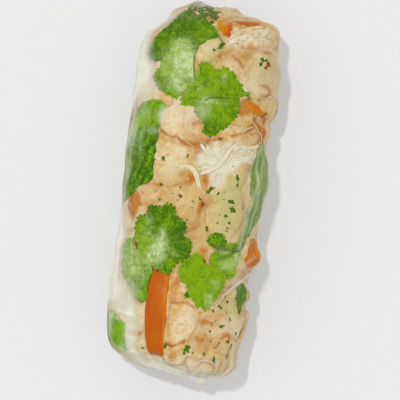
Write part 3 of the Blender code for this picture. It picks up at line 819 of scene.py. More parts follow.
class ROLL_OT_carrot(bpy.types.Operator):
    """Carrot: the long baton, the peg that pushes the paper out, and the small shreds"""

    bl_idname = "roll.carrot"
    bl_label = "Carrot"

    def execute(self, context):
        finish = raw_carrot(context.scene.roll_colours)
        made = []
        spin = np.linspace(0, 2 * math.pi, 96, endpoint=False)
        share = np.linspace(0, 1, 19)[1:, None] ** 0.6
        for node, row in CARROTS.items():
            aside, ahead, wide, long, turn, bow, top, thick, tone, square, torn, side = row
            along, around = laid_out([middle_of(node)])
            squared = (np.abs(np.sin(spin)) ** square + np.abs(np.cos(spin)) ** square) ** (-1 / square)
            x, y = share * (squared * np.sin(spin)), share * (squared * np.cos(spin))
            ragged = 1 + torn * (np.sin(3 * spin + 1) + 0.7 * np.sin(7 * spin) + 0.5 * np.sin(11 * spin + 2))
            over = x * ragged * wide / 2 * (1 - 0.1 * y**2) - bow * (1 - y**2) + bow * 0.5
            forth = y * long / 2 * ragged
            cos, sin = math.cos(math.radians(turn)), math.sin(math.radians(turn))
            plan_x = (plan_across(around[0]) / MM + aside + over * cos - forth * sin) * MM
            plan_y = along[0] + (ahead + over * sin + forth * cos) * MM
            angle = turned(plan_x)
            base = sample(shape["outside"], plan_y, angle) + top * MM
            if node != "carrot_baton":
                base = sample(shape["outside"] + draped(shape["top"], 6), plan_y, angle) + 0.35 * MM
            drop = 0.7 * MM * np.clip((share - 0.8) / 0.2, 0, 1) ** 2
            rough = 0.1 * MM * ripple(np.stack([plan_x, plan_y, 0 * plan_x], -1), 3 * MM, 31)
            light = tone + side * x + 0.6 * np.clip((x - 0.55) / 0.3, 0, 1) * (node == "carrot_baton")
            item = two_sided(
                node + "_cut", plan_y, angle, base - drop + rough, base - thick * MM, finish, tone=light
            )
            keep(item, [node])
            made.append(item)
        add_to_top(made)
        return {"FINISHED"}


# Coriander leaflets by CAD node: where the hub lies from the CAD leaflet's middle; then how far the
# edge reaches from the hub at each angle, clockwise from the far end, at its tips and its notches;
# the angle and distance of the stalk; the pitch and depth of the teeth; how bright the leaf is; and
# where the edge is smooth, a middle and a half width in degrees.
LEAFLETS = {
    "coriander_lower_1": (
        (0, 0),
        (
            (-9, 9.8), (6, 8.8), (18, 8.6), (30, 8.6), (43, 10.8), (54, 11.2), (64, 12.6), (74, 13.6),
            (84, 14.4), (91, 10), (105, 7.8), (120, 8.2), (140, 6), (158, 5.6), (-175, 7.6), (-160, 7.8),
            (-144, 8), (-132, 13.4), (-121, 14.6), (-110, 13.6), (-101, 12.2), (-90, 10), (-78, 9.6),
            (-66, 10.6), (-50, 12.4), (-40, 13), (-30, 12), (-20, 10.2),
        ),
        (80, 12), 1.8, 0.8, 0.26, (104, 30),
    ),
    "coriander_lower_2": (
        (0.6, 0.4),
        (
            (-58, 9.8), (-46, 8.4), (-30, 4.6), (-10, 4), (14, 5.2), (38, 5), (60, 6), (74, 6.2), (96, 9),
            (108, 9.8), (120, 10), (132, 9), (150, 8), (180, 7.6), (-150, 9.2), (-136, 13.2), (-126, 16),
            (-119, 15.6), (-112, 13), (-100, 10), (-86, 8.8), (-70, 9),
        ),
        (-150, 5), 1.9, 1.0, 0.85, (165, 20),
    ),
    "coriander_lower_3": (
        (-0.3, 1.3),
        (
            (-24, 11.8), (-10, 10.4), (8, 8.2), (40, 6.8), (62, 7), (86, 7.4), (104, 6.8), (122, 7.4),
            (146, 11.2), (157, 11), (168, 9.4), (-176, 8), (-162, 6), (-146, 4.8), (-120, 4.8),
            (-84, 5.6), (-60, 7), (-42, 10.6),
        ),
        (20, 7), 1.9, 0.8, 0.7, (70, 30),
    ),
    "coriander_lower_4": (
        (-2.4, 2.3),
        (
            (-54, 5.4), (-32, 4.5), (-8, 4.6), (6, 5.6), (28, 6.5), (44, 6.4), (58, 5.6), (84, 4.4),
            (104, 4.4), (130, 4.2), (152, 6.2), (164, 6.8), (-178, 5.4), (-164, 4.8), (-138, 4.6),
            (-112, 5.8), (-102, 6.8), (-86, 6.2),
        ),
        (160, 3), 1.7, 0.7, 1.0, (100, 20),
    ),
    "coriander_lower_5": (
        (0.3, -0.4),
        (
            (-98, 4.2), (-72, 3.9), (-40, 3.1), (-12, 2.7), (26, 2.8), (62, 2.8), (98, 3.6), (112, 3.4),
            (142, 2.3), (180, 2), (-150, 2.2), (-122, 3.2),
        ),
        (180, 1), 1.8, 0.4, 0.42, (180, 60),
    ),
    "coriander_upper_1": (
        (-0.4, -0.2),
        (
            (-4, 10), (12, 10.8), (24, 11.4), (35, 11.6), (50, 9.4), (66, 8.5), (84, 8.5), (98, 9.4),
            (108, 9.8), (116, 9), (134, 9), (150, 9.2), (162, 9.9), (176, 8.8), (-160, 8), (-146, 8.2),
            (-130, 7.8), (-116, 8.2), (-98, 6.8), (-84, 5.2), (-68, 5.6), (-40, 4.6), (-14, 6),
        ),
        (60, 8.5), 1.8, 1.0, 0.8, (70, 36),
    ),
    "coriander_upper_2": (
        (-2.4, 0.2),
        (
            (-82, 8.8), (-68, 7), (-46, 5.8), (-12, 5), (25, 4.8), (45, 6.8), (54, 9), (64, 8.8),
            (78, 8.1), (92, 7), (110, 5.8), (130, 5.8), (150, 6), (166, 6), (176, 7.4), (-168, 8.4),
            (-156, 8.4), (-144, 8.8), (-137, 6.6), (-120, 6.8), (-102, 8), (-92, 9.2),
        ),
        (10, 4), 1.8, 0.9, 0.75, (5, 45),
    ),
    "coriander_upper_3": (
        (-0.3, -0.4),
        (
            (-26, 11.2), (-14, 10.4), (0, 10.2), (12, 11.8), (24, 11.8), (38, 9.8), (50, 10.6),
            (62, 11.2), (72, 10.8), (82, 9), (90, 12.8), (100, 13.6), (112, 13.8), (122, 13), (132, 12),
            (144, 12.2), (156, 13.6), (166, 12.6), (176, 11.4), (-168, 9.2), (-154, 8), (-138, 7.4),
            (-120, 8.8), (-102, 10), (-90, 9.4), (-76, 10.4), (-58, 10.8), (-42, 9.2),
        ),
        (150, 3), 1.7, 1.0, 0.42, (-140, 24),
    ),
    "coriander_upper_4": (
        (-0.1, -0.5),
        (
            (-20, 11.6), (-8, 10.2), (4, 7.6), (16, 7.6), (32, 8.4), (56, 9.2), (68, 9.2), (80, 8),
            (90, 8.2), (104, 7.2), (122, 7.2), (140, 7.2), (154, 8.4), (164, 8.4), (174, 7.2),
            (-174, 7.4), (-160, 6.2), (-142, 5.8), (-126, 7.6), (-112, 5.6), (-95, 6), (-82, 8.8),
            (-66, 10.6), (-50, 11.4), (-36, 11),
        ),
        (35, 5), 1.6, 1.25, 1.0, (35, 4),
    ),
}

# Across the leaves: patches that are brighter or darker, and patches that are whitened, partly by
# frosting under air and partly as painted highlights, each with its place across and along, half
# width, half length and strength.
LEAF_TONES = (
    (-4, 53, 4, 2.4, 0.1), (-13, 58, 7, 3, -0.15), (-17, 45, 4, 5, 0.25), (-6, 49, 3, 2, -0.15),
    (-20.4, 36, 1.6, 4, -0.35), (-9.5, 37.5, 1.6, 3.4, -0.45), (-17, 34, 3, 2, -0.3),
    (-3, 41.5, 3, 2.6, -0.25), (12, 36, 3, 4, -0.1), (4, 21.5, 5, 2.6, -0.5), (11.6, 28, 3, 4, -0.2),
    (-13, -8.6, 5, 2.6, -0.35), (-3, -14, 4, 6, -0.45), (-18.6, -17, 3, 6, 0.4),
    (-14.5, -21.5, 4, 4, 0.35), (-8, -26, 5, 3, 0.1), (0, -21, 3, 4, -0.15), (-17, -33, 2, 3, -0.35),
    (9, -24, 4, 3, 0.1), (16, -29, 2, 5, -0.2), (14, -37, 3, 3, -0.2), (12, -20, 4, 1.4, -0.4),
    (20, -18, 2, 2, -0.5), (-19.6, -54, 1.6, 3.4, -0.55), (-22, -50, 3, 4, 0.3), (-27, -47, 2, 4, -0.2),
)
FROST_AND_HIGHLIGHTS = (
    (-9.6, 43.5, 4.0, 6, 0.85), (-12.6, 48, 3.4, 2.4, 0.35), (-6, 41, 1.6, 4.6, 0.75),
    (-9.6, 34.6, 2.6, 2.4, 0.5), (-16, 42, 4, 5, 0.35), (-13, 35.6, 3.4, 3, 0.4), (-25, 50, 2, 5, 0.25),
    (-17, 58.4, 6, 1.4, 0.12), (-8, 60.6, 6, 1.0, 0.12), (-2.4, 34.4, 1.2, 2.0, 0.15),
    (6, 39.4, 1.3, 1.5, 0.4), (0.4, 28, 2.2, 3.6, 0.5), (1.6, 31.2, 3.2, 1.2, 0.5),
    (7.4, 30.6, 1.8, 0.8, 0.2), (-15.4, -11.6, 2.0, 2.0, 0.2), (-9.4, -17, 1.4, 3.4, 0.5),
    (-9.8, -21.4, 3.0, 4.4, 0.7), (-12.6, -24, 2.6, 3.2, 0.6), (-5, -22, 2, 1.2, 0.15),
    (-15, -16, 2, 3, 0.2), (-21.5, -25.5, 4.6, 7, 0.5), (-17, -31, 4, 5, 0.3), (-18, -38, 4, 3, 0.1),
    (11.6, -36.8, 2, 2.4, 0.55), (13, -31, 2, 2, 0.25), (19.6, -21, 1.8, 3.2, 0.6),
    (14.6, -19.4, 4, 1.4, 0.25), (16.6, -24, 3, 2, 0.4), (-30.5, 12, 3.6, 13, 0.85),
    (-27, 19, 2.6, 5, 0.5), (-15.2, 23, 1.3, 4.6, 0.8), (-22.6, 15, 1.2, 6, 0.4), (-29, -3, 2.2, 6, 0.5),
    (-22, 24, 3, 2.4, 0.35), (-18.6, 18.6, 3, 1.2, 0.4), (-25, -45.4, 6, 2, 0.75),
    # The last two on the next line, thin strips down the spring onion's left edge, are a painted highlight
    # line.
    (-29.4, -50, 2.8, 8, 0.7), (-24, -55.6, 6, 2, 0.7), (24, 8, 0.8, 9, 0.8), (22.8, -5, 0.8, 9, 0.7),
    (28.4, 5, 1.2, 11, 0.2), (33, 0, 1.6, 12, 0.25), (26.6, 17, 2.4, 3, 0.4), (27.6, -33.6, 0.8, 2, 0.2),
)


def lobed_reach(spin, turns):
    """How far an edge reaches from its hub in each direction, easing between tips and notches."""
    angles = np.radians([turn[0] for turn in turns]) % (2 * math.pi)
    order = np.argsort(angles)
    angles, reach = angles[order], np.array([turn[1] for turn in turns])[order]
    angles = np.concatenate([[angles[-1] - 2 * math.pi], angles, [angles[0] + 2 * math.pi]])
    reach = np.concatenate([[reach[-1]], reach, [reach[0]]])
    share = np.interp(spin, angles, np.arange(len(angles)))
    first = np.minimum(share.astype(int), len(angles) - 2)
    ease = 0.5 - 0.5 * np.cos(math.pi * (share - first))
    return reach[first] + (reach[first + 1] - reach[first]) * ease


def scalloped(spin, reach, pitch, depth, smooth, seed):
    """Rounded teeth of an even pitch along the edge of an outline, fading out where it is smooth."""
    x, y = reach * np.sin(spin), reach * np.cos(spin)
    step = np.hypot(np.roll(x, -1) - x, np.roll(y, -1) - y)
    gone = np.concatenate([[0], np.cumsum(step)[:-1]])
    teeth = max(8, round(step.sum() / pitch))
    share = gone / step.sum() * 2 * math.pi
    off = np.angle(np.exp(1j * (spin - math.radians(smooth[0])))) / math.radians(smooth[1])
    size = depth * (1 + 0.35 * np.sin(share * 5 + seed)) * (1 - 0.85 * np.exp(-(off**4)))
    return reach + size * (np.abs(np.sin(share * teeth / 2 + 0.5 * np.sin(share * 3 + seed))) ** 0.75 - 0.6)


def lay_leaf(
    name, node, hub, spin, reach, finish, stalk=(0, 0), tone=0.5, veins=(), shade=None
):
    """A thin leaf draped over what lies under it. Its edge reaches so far from its hub at each
    spin, and its veins run from the end of the stalk to a tip each, given as angle and distance."""
    along, around = laid_out([middle_of(node)])
    share = (np.arange(1, LEAF_RINGS + 1) / LEAF_RINGS)[:, None] ** 0.8
    x, y = share * (reach * np.sin(spin)), share * (reach * np.cos(spin))
    plan_x = plan_across(around[0]) + (hub[0] + x) * MM
    plan_y = along[0] + (hub[1] + y) * MM
    angle = turned(plan_x)
    stem = off_hub(*stalk)
    # Side veins leave each main one every 2 mm, and the blade is quilted between them.
    vein, quilt = np.zeros_like(x), np.zeros_like(x)
    for direction, far in veins:
        tip = off_hub(direction, far)
        way = tip[0] - stem[0], tip[1] - stem[1]
        long = math.hypot(*way)
        run = ((x - stem[0]) * way[0] + (y - stem[1]) * way[1]) / long
        off = np.abs((x - stem[0]) * way[1] - (y - stem[1]) * way[0]) / long
        inside = (run > -0.5) & (run < long)
        main = np.exp(-((off / np.clip(0.3 - 0.014 * run, 0.12, 1)) ** 2))
        side = np.exp(-(((np.mod(run - off * 1.1, 2.0) - 1.0) / 0.2) ** 2)) * np.exp(-off / 2.6) * 0.5
        vein = np.maximum(vein, np.where(inside, np.maximum(main, side), 0))
        quilt = np.maximum(quilt, np.where(inside, np.exp(-((off / 0.8) ** 2)), 0))
    # The blade lies on the filling, waves a little, sinks along its veins and dips at its edge.
    spot = np.stack([plan_x, plan_y, np.zeros_like(x)], -1)
    wave = 0.28 * ripple(spot, 4.5 * MM, 41) + 0.14 * ripple(spot, 1.5 * MM, 42)
    bed = sample(draped(shape["top"], 20), plan_y, angle)
    height = bed + (LEAF_LIFT + wave - 0.22 * quilt + 0.06 * vein) * MM
    height -= 0.2 * MM * np.clip((share - 0.88) / 0.12, 0, 1)
    upper = sample(shape["outside"], plan_y, angle) + height
    light = tone + 0.22 * ripple(spot, 3.2 * MM, 43) + 0.12 * ripple(spot, 0.8 * MM, 44) - 0.15 * quilt
    light += patch(LEAF_TONES, plan_x, plan_y)
    if shade is not None:
        light += shade(x, y)
    item = two_sided(
        name, plan_y, angle, upper, upper - LEAF_THICKNESS, finish,
        tone=light, vein=vein * 0.35, frost=patch(FROST_AND_HIGHLIGHTS, plan_x, plan_y),
    )
    keep(item, [node])
    add_to_top([item])


class ROLL_OT_coriander(bpy.types.Operator):
    """Coriander leaflets, each a fan of toothed lobes pressed flat under the paper"""

    bl_idname = "roll.coriander"
    bl_label = "Coriander"

    def execute(self, context):
        tints = context.scene.roll_colours
        finish = fresh_leaf(
            "coriander_leaf", tints.coriander_dark, tints.coriander_bright, tints.coriander_vein,
            tints.coriander_frost, (1, 1, 1),
        )
        for seed, (node, row) in enumerate(sorted(LEAFLETS.items())):
            hub, turns, stalk, pitch, depth, tone, smooth = row
            reach = scalloped(LEAF_SPIN, lobed_reach(LEAF_SPIN, turns), pitch, depth, smooth, seed)
            veins = [(angle, far - 0.8) for angle, far in turns[::2]]
            lay_leaf(node + "_leaf", node, hub, LEAF_SPIN, reach, finish, stalk, tone, veins)
        return {"FINISHED"}


# Stems given one by one: points across and along, width, lift and how bright.
STEMS = (
    (((-1.6, 55.6), (1.4, 53.2), (4.4, 50.4)), 0.7, 0.2, 0.2),
    (((-6, 46.4), (-5.6, 42), (-4.7, 37.4)), 0.4, 0.0, 0.1),
    (((-0.6, 30.6), (2.4, 32.2), (6, 32.4), (9.6, 32.8)), 0.6, 0.3, 0.1),
    (((12.6, 35.2), (15, 35), (17, 35.4)), 1.3, 0.2, 0.5),
    (((15, 35.2), (16.6, 34.2), (17.4, 33.4)), 0.9, 0.2, 0.4),
    (((8.6, -17.6), (13, -18.6), (17, -18.4), (21, -18.8)), 0.9, 0.3, 0.1),
    (((12, -22.6), (15.6, -21), (20, -18.6)), 0.8, 0.3, 0.3),
    (((20, -17), (22.6, -10), (23.4, -4)), 0.8, 0.2, 0.5),
    (((26.4, -29.4), (27, -34), (26, -39)), 1.0, 0.2, 0.1),
    (((21.8, -30.8), (24, -34), (25.4, -39)), 0.9, 0.2, 0.2),
    (((-9, 59.6), (-4, 61), (1, 61.4)), 0.9, 0.1, 0.15),
    (((-6, 65), (-2, 63), (0.6, 59)), 0.8, 0.1, 0.35),
)


class ROLL_OT_stems(bpy.types.Operator):
    """Thin coriander stems that run out from between the leaflets"""

    bl_idname = "roll.stems"
    bl_label = "Coriander stems"

    def execute(self, context):
        bed = shape["outside"] + blur(shape["top"], 0.4 * MM)
        dice = np.random.default_rng(31)
        paths = [strand(points, wide, lift, bed, dice, 0.4) for points, wide, lift, _ in STEMS]
        finish = bpy.data.materials["coriander_leaf"]
        item = swept(
            "coriander_stems", paths, finish, tone=[bright for *_, bright in STEMS], vein=[0.1] * len(STEMS),
            frost=[0.1] * len(STEMS),
        )
        keep(item)
        add_to_top([item])
        return {"FINISHED"}


# Chopped herb and browned scraps large enough to tell apart: across, along, width, length, turn
# in degrees. Those past 57 are the torn herb that is packed into the far end.
GREEN_BITS = (
    (14.9, -2.2, 2.3, 1.1, 8), (16, -4.9, 2.0, 1.7, 30), (13.8, -7.2, 1.2, 1.0, 10),
    (15.4, -9.4, 0.9, 0.7, 60), (11, -10, 0.7, 0.6, 0), (7.3, -12.4, 0.8, 1.8, -10),
    (6.4, 0.8, 1.1, 3.2, 48), (16, 6.1, 1.0, 2.1, -12), (16.4, 3.6, 0.8, 1.2, 20),
    (-12.9, 0.6, 1.4, 0.9, 20), (-13.5, 9.5, 1.2, 1.7, -30), (-4.1, 11.4, 0.8, 1.4, 10),
    (-0.9, -10.3, 0.8, 0.6, 0), (2.9, -2.6, 1.4, 0.8, 40), (-12.4, -4.6, 0.8, 0.7, 0),
    (17.5, -45, 1.7, 1.0, -20), (13.2, -47.1, 0.8, 0.8, 0), (25.1, -46.9, 0.8, 0.9, 0),
    (5.3, -52.8, 2.2, 2.0, 15), (4.6, -54.2, 1.2, 0.9, 60), (12.3, -53.6, 1.2, 0.9, 20),
    (16.6, -54.4, 0.8, 1.7, -20), (-13.1, -54.8, 0.9, 0.8, 0), (-3.1, -53.3, 1.0, 1.6, 10),
    (22.8, -53.3, 0.8, 1.0, 0), (23.5, -50.5, 0.7, 1.3, 10), (2.7, -35.7, 1.8, 1.7, 0),
    (19.3, -36.3, 0.8, 0.7, 0), (25, -39.5, 0.7, 0.9, 0), (16.4, -38.4, 1.8, 0.7, 30),
    (13.6, -40, 1.3, 0.7, 50), (1, 48.3, 1.1, 0.8, 10), (3.6, 49.8, 3.0, 1.5, -38),
    (20, 47.4, 1.9, 1.3, 20), (19.4, 45.8, 1.2, 1.2, 50), (21.8, 47.4, 1.2, 0.9, 0),
    (-17, 61.4, 3.8, 2.4, 20), (-13, 63.4, 4.4, 2.6, -10), (-9, 61.8, 3.6, 3.2, 40),
    (-6.2, 64, 4.6, 2.8, 10), (-3.4, 61.2, 4.2, 2.8, -30), (-0.4, 59.6, 3.4, 2.6, 20),
    (-10.4, 66, 5.0, 2.4, 0), (-4, 66.6, 3, 1.8, 24), (0, 63, 2.4, 1.6, 50), (-1.6, 57.4, 2.2, 1.6, 0),
    (-14.6, 59.8, 2.4, 1.6, 30), (-7, 59.4, 2.8, 1.8, 0), (-16, 66, 4, 2.4, 10),
    (-21, 61.6, 2.2, 1.4, 40), (-22.4, 63, 2.6, 1.2, 0), (-18.7, 63.4, 3.6, 2, 30),
    (-20.7, 65.6, 4.6, 2, 0), (-23, 67.7, 6, 2, 20), (-21, 69.4, 7, 2, -10), (-14, 69, 7, 2.2, 10),
    (-7.4, 68.6, 4, 1.4, -20), (-25, 65.2, 3.6, 1.4, 30), (-26, 67, 4, 1.4, 0), (-27, 69, 5, 1.6, 0),
    (-17, 68, 5, 1.6, 0), (-11, 67.6, 4.4, 1.6, 40), (-12, 70.6, 7, 1.8, 0), (-24, 64, 4, 1.8, 10),
    (-20, 71, 8, 1.6, 0), (-5, 0.4, 0.6, 0.6, 0), (9.6, 0, 0.8, 1.2, 40), (18, -34.6, 0.6, 0.9, 0),
    (8.2, 18.6, 2.0, 0.5, 4), (14.8, -12.4, 1.1, 0.4, 10), (0.4, -3.8, 0.7, 0.6, 0),
    (21, -42, 0.6, 0.6, 0), (-23, -43.6, 0.6, 0.6, 0),
)
BROWN_BITS = (
    (22.8, 46.2, 1.7, 1.6, 10), (21.6, 44.8, 1.3, 0.9, 30), (-18.6, -20.7, 0.9, 2.4, -24),
    (7.7, -23.4, 1.5, 0.9, 30), (-3, 61.2, 2.4, 1.2, 20), (0.8, 60, 1.6, 1.2, 0), (-12, 60, 1.2, 0.8, 0),
    (4, -4.4, 1.2, 1.7, 10), (-16, 57.4, 0.9, 0.7, 0), (2.4, 63.4, 3.2, 1.2, -10),
    (-4.6, -2.4, 1.5, 1.2, 30), (24.6, 28.6, 0.8, 2.4, 40), (21, -49.4, 1.7, 0.8, 10),
)


class ROLL_OT_bits(bpy.types.Operator):
    """Chopped coriander and browned scraps large enough to tell apart, lying flat on the filling"""

    bl_idname = "roll.bits"
    bl_label = "Chopped bits"

    def execute(self, context):
        tints = context.scene.roll_colours
        herb = small_piece("chopped_coriander", tints.herb_dark, tints.herb_light, 0.5, 1300.0)
        crust = small_piece("browned_scrap", tints.pepper, tints.dried_juices, 0.5, 1500.0)
        corners = 18
        spin = np.linspace(0, 2 * math.pi, corners, endpoint=False)
        share = np.array([0.4, 0.75, 1.0])[:, None]
        for name, slot, finish, rows in (
            ("coriander_bits", "coriander", herb, GREEN_BITS), ("browned_bits", "chicken", crust, BROWN_BITS)
        ):
            points, faces = [], []
            bed = shape["outside"] + draped(shape["top"], 4)
            dice = np.random.default_rng(61)
            for seed, (across, along, wide, long, turn) in enumerate(rows):
                torn = 0.75 + 0.5 * dice.random(corners) ** 2 + 0.22 * np.sin(4 * spin + seed)
                over = share * torn * np.sin(spin) * wide * 0.55
                forth = share * torn * np.cos(spin) * long * 0.55
                cos, sin = math.cos(math.radians(turn)), math.sin(math.radians(turn))
                plan_x = (across + over * cos + forth * sin) * MM
                plan_y = (along + forth * cos - over * sin) * MM
                angle = turned(plan_x)
                base = sample(bed, plan_y, angle) + 0.05 * MM
                more, joined = blade(plan_y, angle, base + (0.22 - 0.12 * share**2) * MM, base - 0.2 * MM)
                faces += [[len(points) + i for i in face] for face in joined]
                points += more.tolist()
            item = add_mesh(name, points, faces, finish)
            keep(item)
            add_to_top([item])
        return {"FINISHED"}


# Long leaves: how far the edge reaches from the hub at each angle, clockwise from the far end.
MINT_LONG = (
    (-29, 13.4), (-16, 15.4), (-4, 18), (8, 19.4), (17, 19.8), (24, 19), (27, 14), (33, 10), (56, 6.4),
    (90, 5.5), (120, 6.2), (147, 10.2), (168, 10.6), (-174, 13.6), (-161, 17.9), (-152, 14), (-130, 11.8),
    (-104, 11.4), (-74, 10), (-48, 11.4),
)
MINT_END = (
    (-40, 7.6), (-20, 6.6), (0, 4.8), (34, 4), (64, 4.8), (88, 4.6), (106, 4.8), (138, 5.8), (164, 6.2),
    (-176, 5.4), (-150, 5), (-120, 6), (-73, 7.4),
)
ONION_LONG = (
    (4, 19.8), (-4, 16.6), (-11, 13.6), (-19, 11.2), (-34, 6.4), (-60, 3.2), (-90, 1.7), (-130, 2.3),
    (-155, 5.2), (-163, 10), (-166, 16.2), (-168, 19.2), (-172, 17), (-178, 13.6), (165, 10.4),
    (150, 9.8), (131, 9.4), (102, 9.6), (67, 10.2), (42, 12), (22, 15.4), (11, 18),
)
ONION_END = (
    (-46, 4.9), (-16, 4.6), (10, 4.2), (53, 3.5), (99, 3), (146, 3.6), (178, 5.6), (-165, 3.6),
    (-147, 2.4), (-100, 2.2), (-67, 2.7),
)


class ROLL_OT_mint(bpy.types.Operator):
    """Mint leaves: the long one down the left side, its tip folded back, and the one at the near end"""

    bl_idname = "roll.mint"
    bl_label = "Mint"

    def execute(self, context):
        tints = context.scene.roll_colours
        finish = fresh_leaf(
            "mint_leaf", tints.mint_dark, tints.mint_bright, tints.mint_vein, tints.mint_frost, (1, 0.28, 1)
        )

        def folded_tip(x, y):
            past = y - 7.8 - 0.62 * x
            lengthwise = 0.2 * np.sin(1.9 * (x - 0.3 * y) + 0.8 * np.sin(0.5 * y))
            edge = np.exp(-((past / 0.6) ** 2)) * np.clip(0.4 + x / 6, 0, 1)
            lit = 0.6 * np.clip(past / 1.6, 0, 1) + 0.35 * np.clip(-x / 8 - 0.1, 0, 1)
            return lit + 0.4 * edge + lengthwise

        reach = scalloped(LEAF_SPIN, lobed_reach(LEAF_SPIN, MINT_LONG), 3.2, 0.25, (20, 60), 1)
        lay_leaf(
            "mint_leaf_long", "mint_leaf_1", (1.4, -2), LEAF_SPIN, reach, finish, (8, 18), 0.22,
            ((200, 15), (187, 17), (176, 13), (214, 10)), folded_tip,
        )
        reach = scalloped(LEAF_SPIN, lobed_reach(LEAF_SPIN, MINT_END), 2.0, 0.3, (-60, 60), 2)
        lay_leaf(
            "mint_leaf_end", "mint_leaf_2", (5.4, 0.9), LEAF_SPIN, reach, finish, (-30, 6), 0.75,
            ((158, 6.5),),
        )
        return {"FINISHED"}


class ROLL_OT_spring_onion(bpy.types.Operator):
    """Spring onion: a split green blade along the right side, and its end further down"""

    bl_idname = "roll.spring_onion"
    bl_label = "Spring onion"

    def execute(self, context):
        tints = context.scene.roll_colours
        finish = fresh_leaf(
            "spring_onion_blade", tints.onion_green, tints.onion_pale, tints.onion_vein,
            tints.onion_frost, (1, 0.15, 1),
        )

        def streaks(x, y):
            over = x - y * 0.16
            return 0.12 * np.sin(over * 1.7 + 0.9 * np.sin(y * 0.3)) + 0.05 * np.sin(over * 5.1 + 1)

        lay_leaf(
            "spring_onion_long", "spring_onion_1", (-3.5, 0.5), LEAF_SPIN,
            lobed_reach(LEAF_SPIN, ONION_LONG), finish, (194, 17), 0.5, ((4, 18),), streaks,
        )
        lay_leaf(
            "spring_onion_end", "spring_onion_2", (-3, 0.5), LEAF_SPIN,
            lobed_reach(LEAF_SPIN, ONION_END), finish, (172, 5), 0.05, (), streaks,
        )
        return {"FINISHED"}


# What is scattered over the filling.


def scatter_tree(name):
    """Geometry Nodes that scatter small lumps over a surface, thickest where "spread" is high."""
    tree = bpy.data.node_groups.new(name, "GeometryNodeTree")
    kinds = {"Surface": "Geometry", "Seed": "Int", "Finish": "Material"}
    for label in ("Surface", "Density", "Smallest", "Largest", "Flatness", "Stretch", "Seed", "Finish"):
        kind = "NodeSocket" + kinds.get(label, "Float")
        tree.interface.new_socket(label, in_out="INPUT", socket_type=kind)
    tree.interface.new_socket("Lumps", in_out="OUTPUT", socket_type="NodeSocketGeometry")
    given = add_node(tree, "NodeGroupInput")
    # Where the lumps lie.
    spread = add_node(tree, "GeometryNodeInputNamedAttribute", {"Name": "spread"}, data_type="FLOAT")
    density = add_node(tree, MATH, {0: given["Density"], 1: spread[0]}, **TIMES)[0]
    dots = add_node(
        tree, "GeometryNodeDistributePointsOnFaces",
        {"Mesh": given["Surface"], "Density": density, "Seed": given["Seed"]}, distribute_method="RANDOM",
    )
    # How large each is, and how it is turned.
    size = add_node(
        tree, "FunctionNodeRandomValue",
        {2: given["Smallest"], 3: given["Largest"], "Seed": given["Seed"]}, data_type="FLOAT",
    )[1]
    longer = add_node(tree, MATH, {0: size, 1: given["Stretch"]}, **TIMES)[0]
    flatter = add_node(tree, MATH, {0: size, 1: given["Flatness"]}, **TIMES)[0]
    scale = add_node(tree, "ShaderNodeCombineXYZ", {"X": longer, "Y": size, "Z": flatter})[0]
    swing = add_node(
        tree, "FunctionNodeRandomValue", {2: 0.0, 3: 2 * math.pi, "Seed": 5}, data_type="FLOAT"
    )[1]
    spun = add_node(tree, "ShaderNodeCombineXYZ", {"Z": swing})[0]
    turn = add_node(
        tree, "FunctionNodeRotateRotation", {"Rotation": dots["Rotation"], "Rotate By": spun},
        rotation_space="LOCAL",
    )[0]
    lump = add_node(tree, "GeometryNodeMeshUVSphere", {"Segments": 6, "Rings": 5, "Radius": 0.5})
    placed = add_node(
        tree, "GeometryNodeInstanceOnPoints",
        {"Points": dots["Points"], "Instance": lump["Mesh"], "Rotation": turn, "Scale": scale},
    )[0]
    # Made real and crumpled by up to 0.3 mm, so that no two are alike.
    real = add_node(tree, "GeometryNodeRealizeInstances", {"Geometry": placed})[0]
    crumple = add_node(tree, NOISE, {"Scale": 1600.0, "Detail": 1.0}, noise_dimensions="3D")
    centred = add_node(
        tree, "ShaderNodeVectorMath", {0: crumple["Color"], 1: (0.5, 0.5, 0.5)},
        operation="SUBTRACT",
    )[0]
    push = add_node(tree, "ShaderNodeVectorMath", {0: centred, 3: 0.6 * MM}, operation="SCALE")[0]
    ragged = add_node(tree, "GeometryNodeSetPosition", {"Geometry": real, "Offset": push})[0]
    smooth = add_node(tree, "GeometryNodeSetShadeSmooth", {"Geometry": ragged})[0]
    finish = {"Geometry": smooth, "Material": given["Finish"]}
    lumps = add_node(tree, "GeometryNodeSetMaterial", finish)[0]
    add_node(tree, "NodeGroupOutput", {"Lumps": lumps})
    return tree


def scatter(name, radius, spread, finish, slot, **settings):
    """Scatters lumps over a skin of these radii, as one plain mesh."""
    if "scatter" not in shape:
        shape["scatter"] = scatter_tree("scattered_lumps")
    carrier = whole_skin(name + "_carrier", radius, finish, spread=spread)
    modifier = carrier.modifiers.new("scatter", "NODES")
    modifier.node_group = shape["scatter"]
    settings["Finish"] = finish
    for socket in shape["scatter"].interface.items_tree:
        if socket.in_out == "INPUT" and socket.name in settings:
            modifier[socket.identifier] = settings[socket.name]
    ready = carrier.evaluated_get(bpy.context.evaluated_depsgraph_get())
    mesh = bpy.data.meshes.new_from_object(ready)
    mesh.name = name
    bpy.data.objects.remove(carrier)
    if not mesh.polygons:
        raise RuntimeError(name + " came out empty")
    item = bpy.data.objects.new(name, mesh)
    bpy.context.scene.collection.objects.link(item)
    keep(item)
    return item
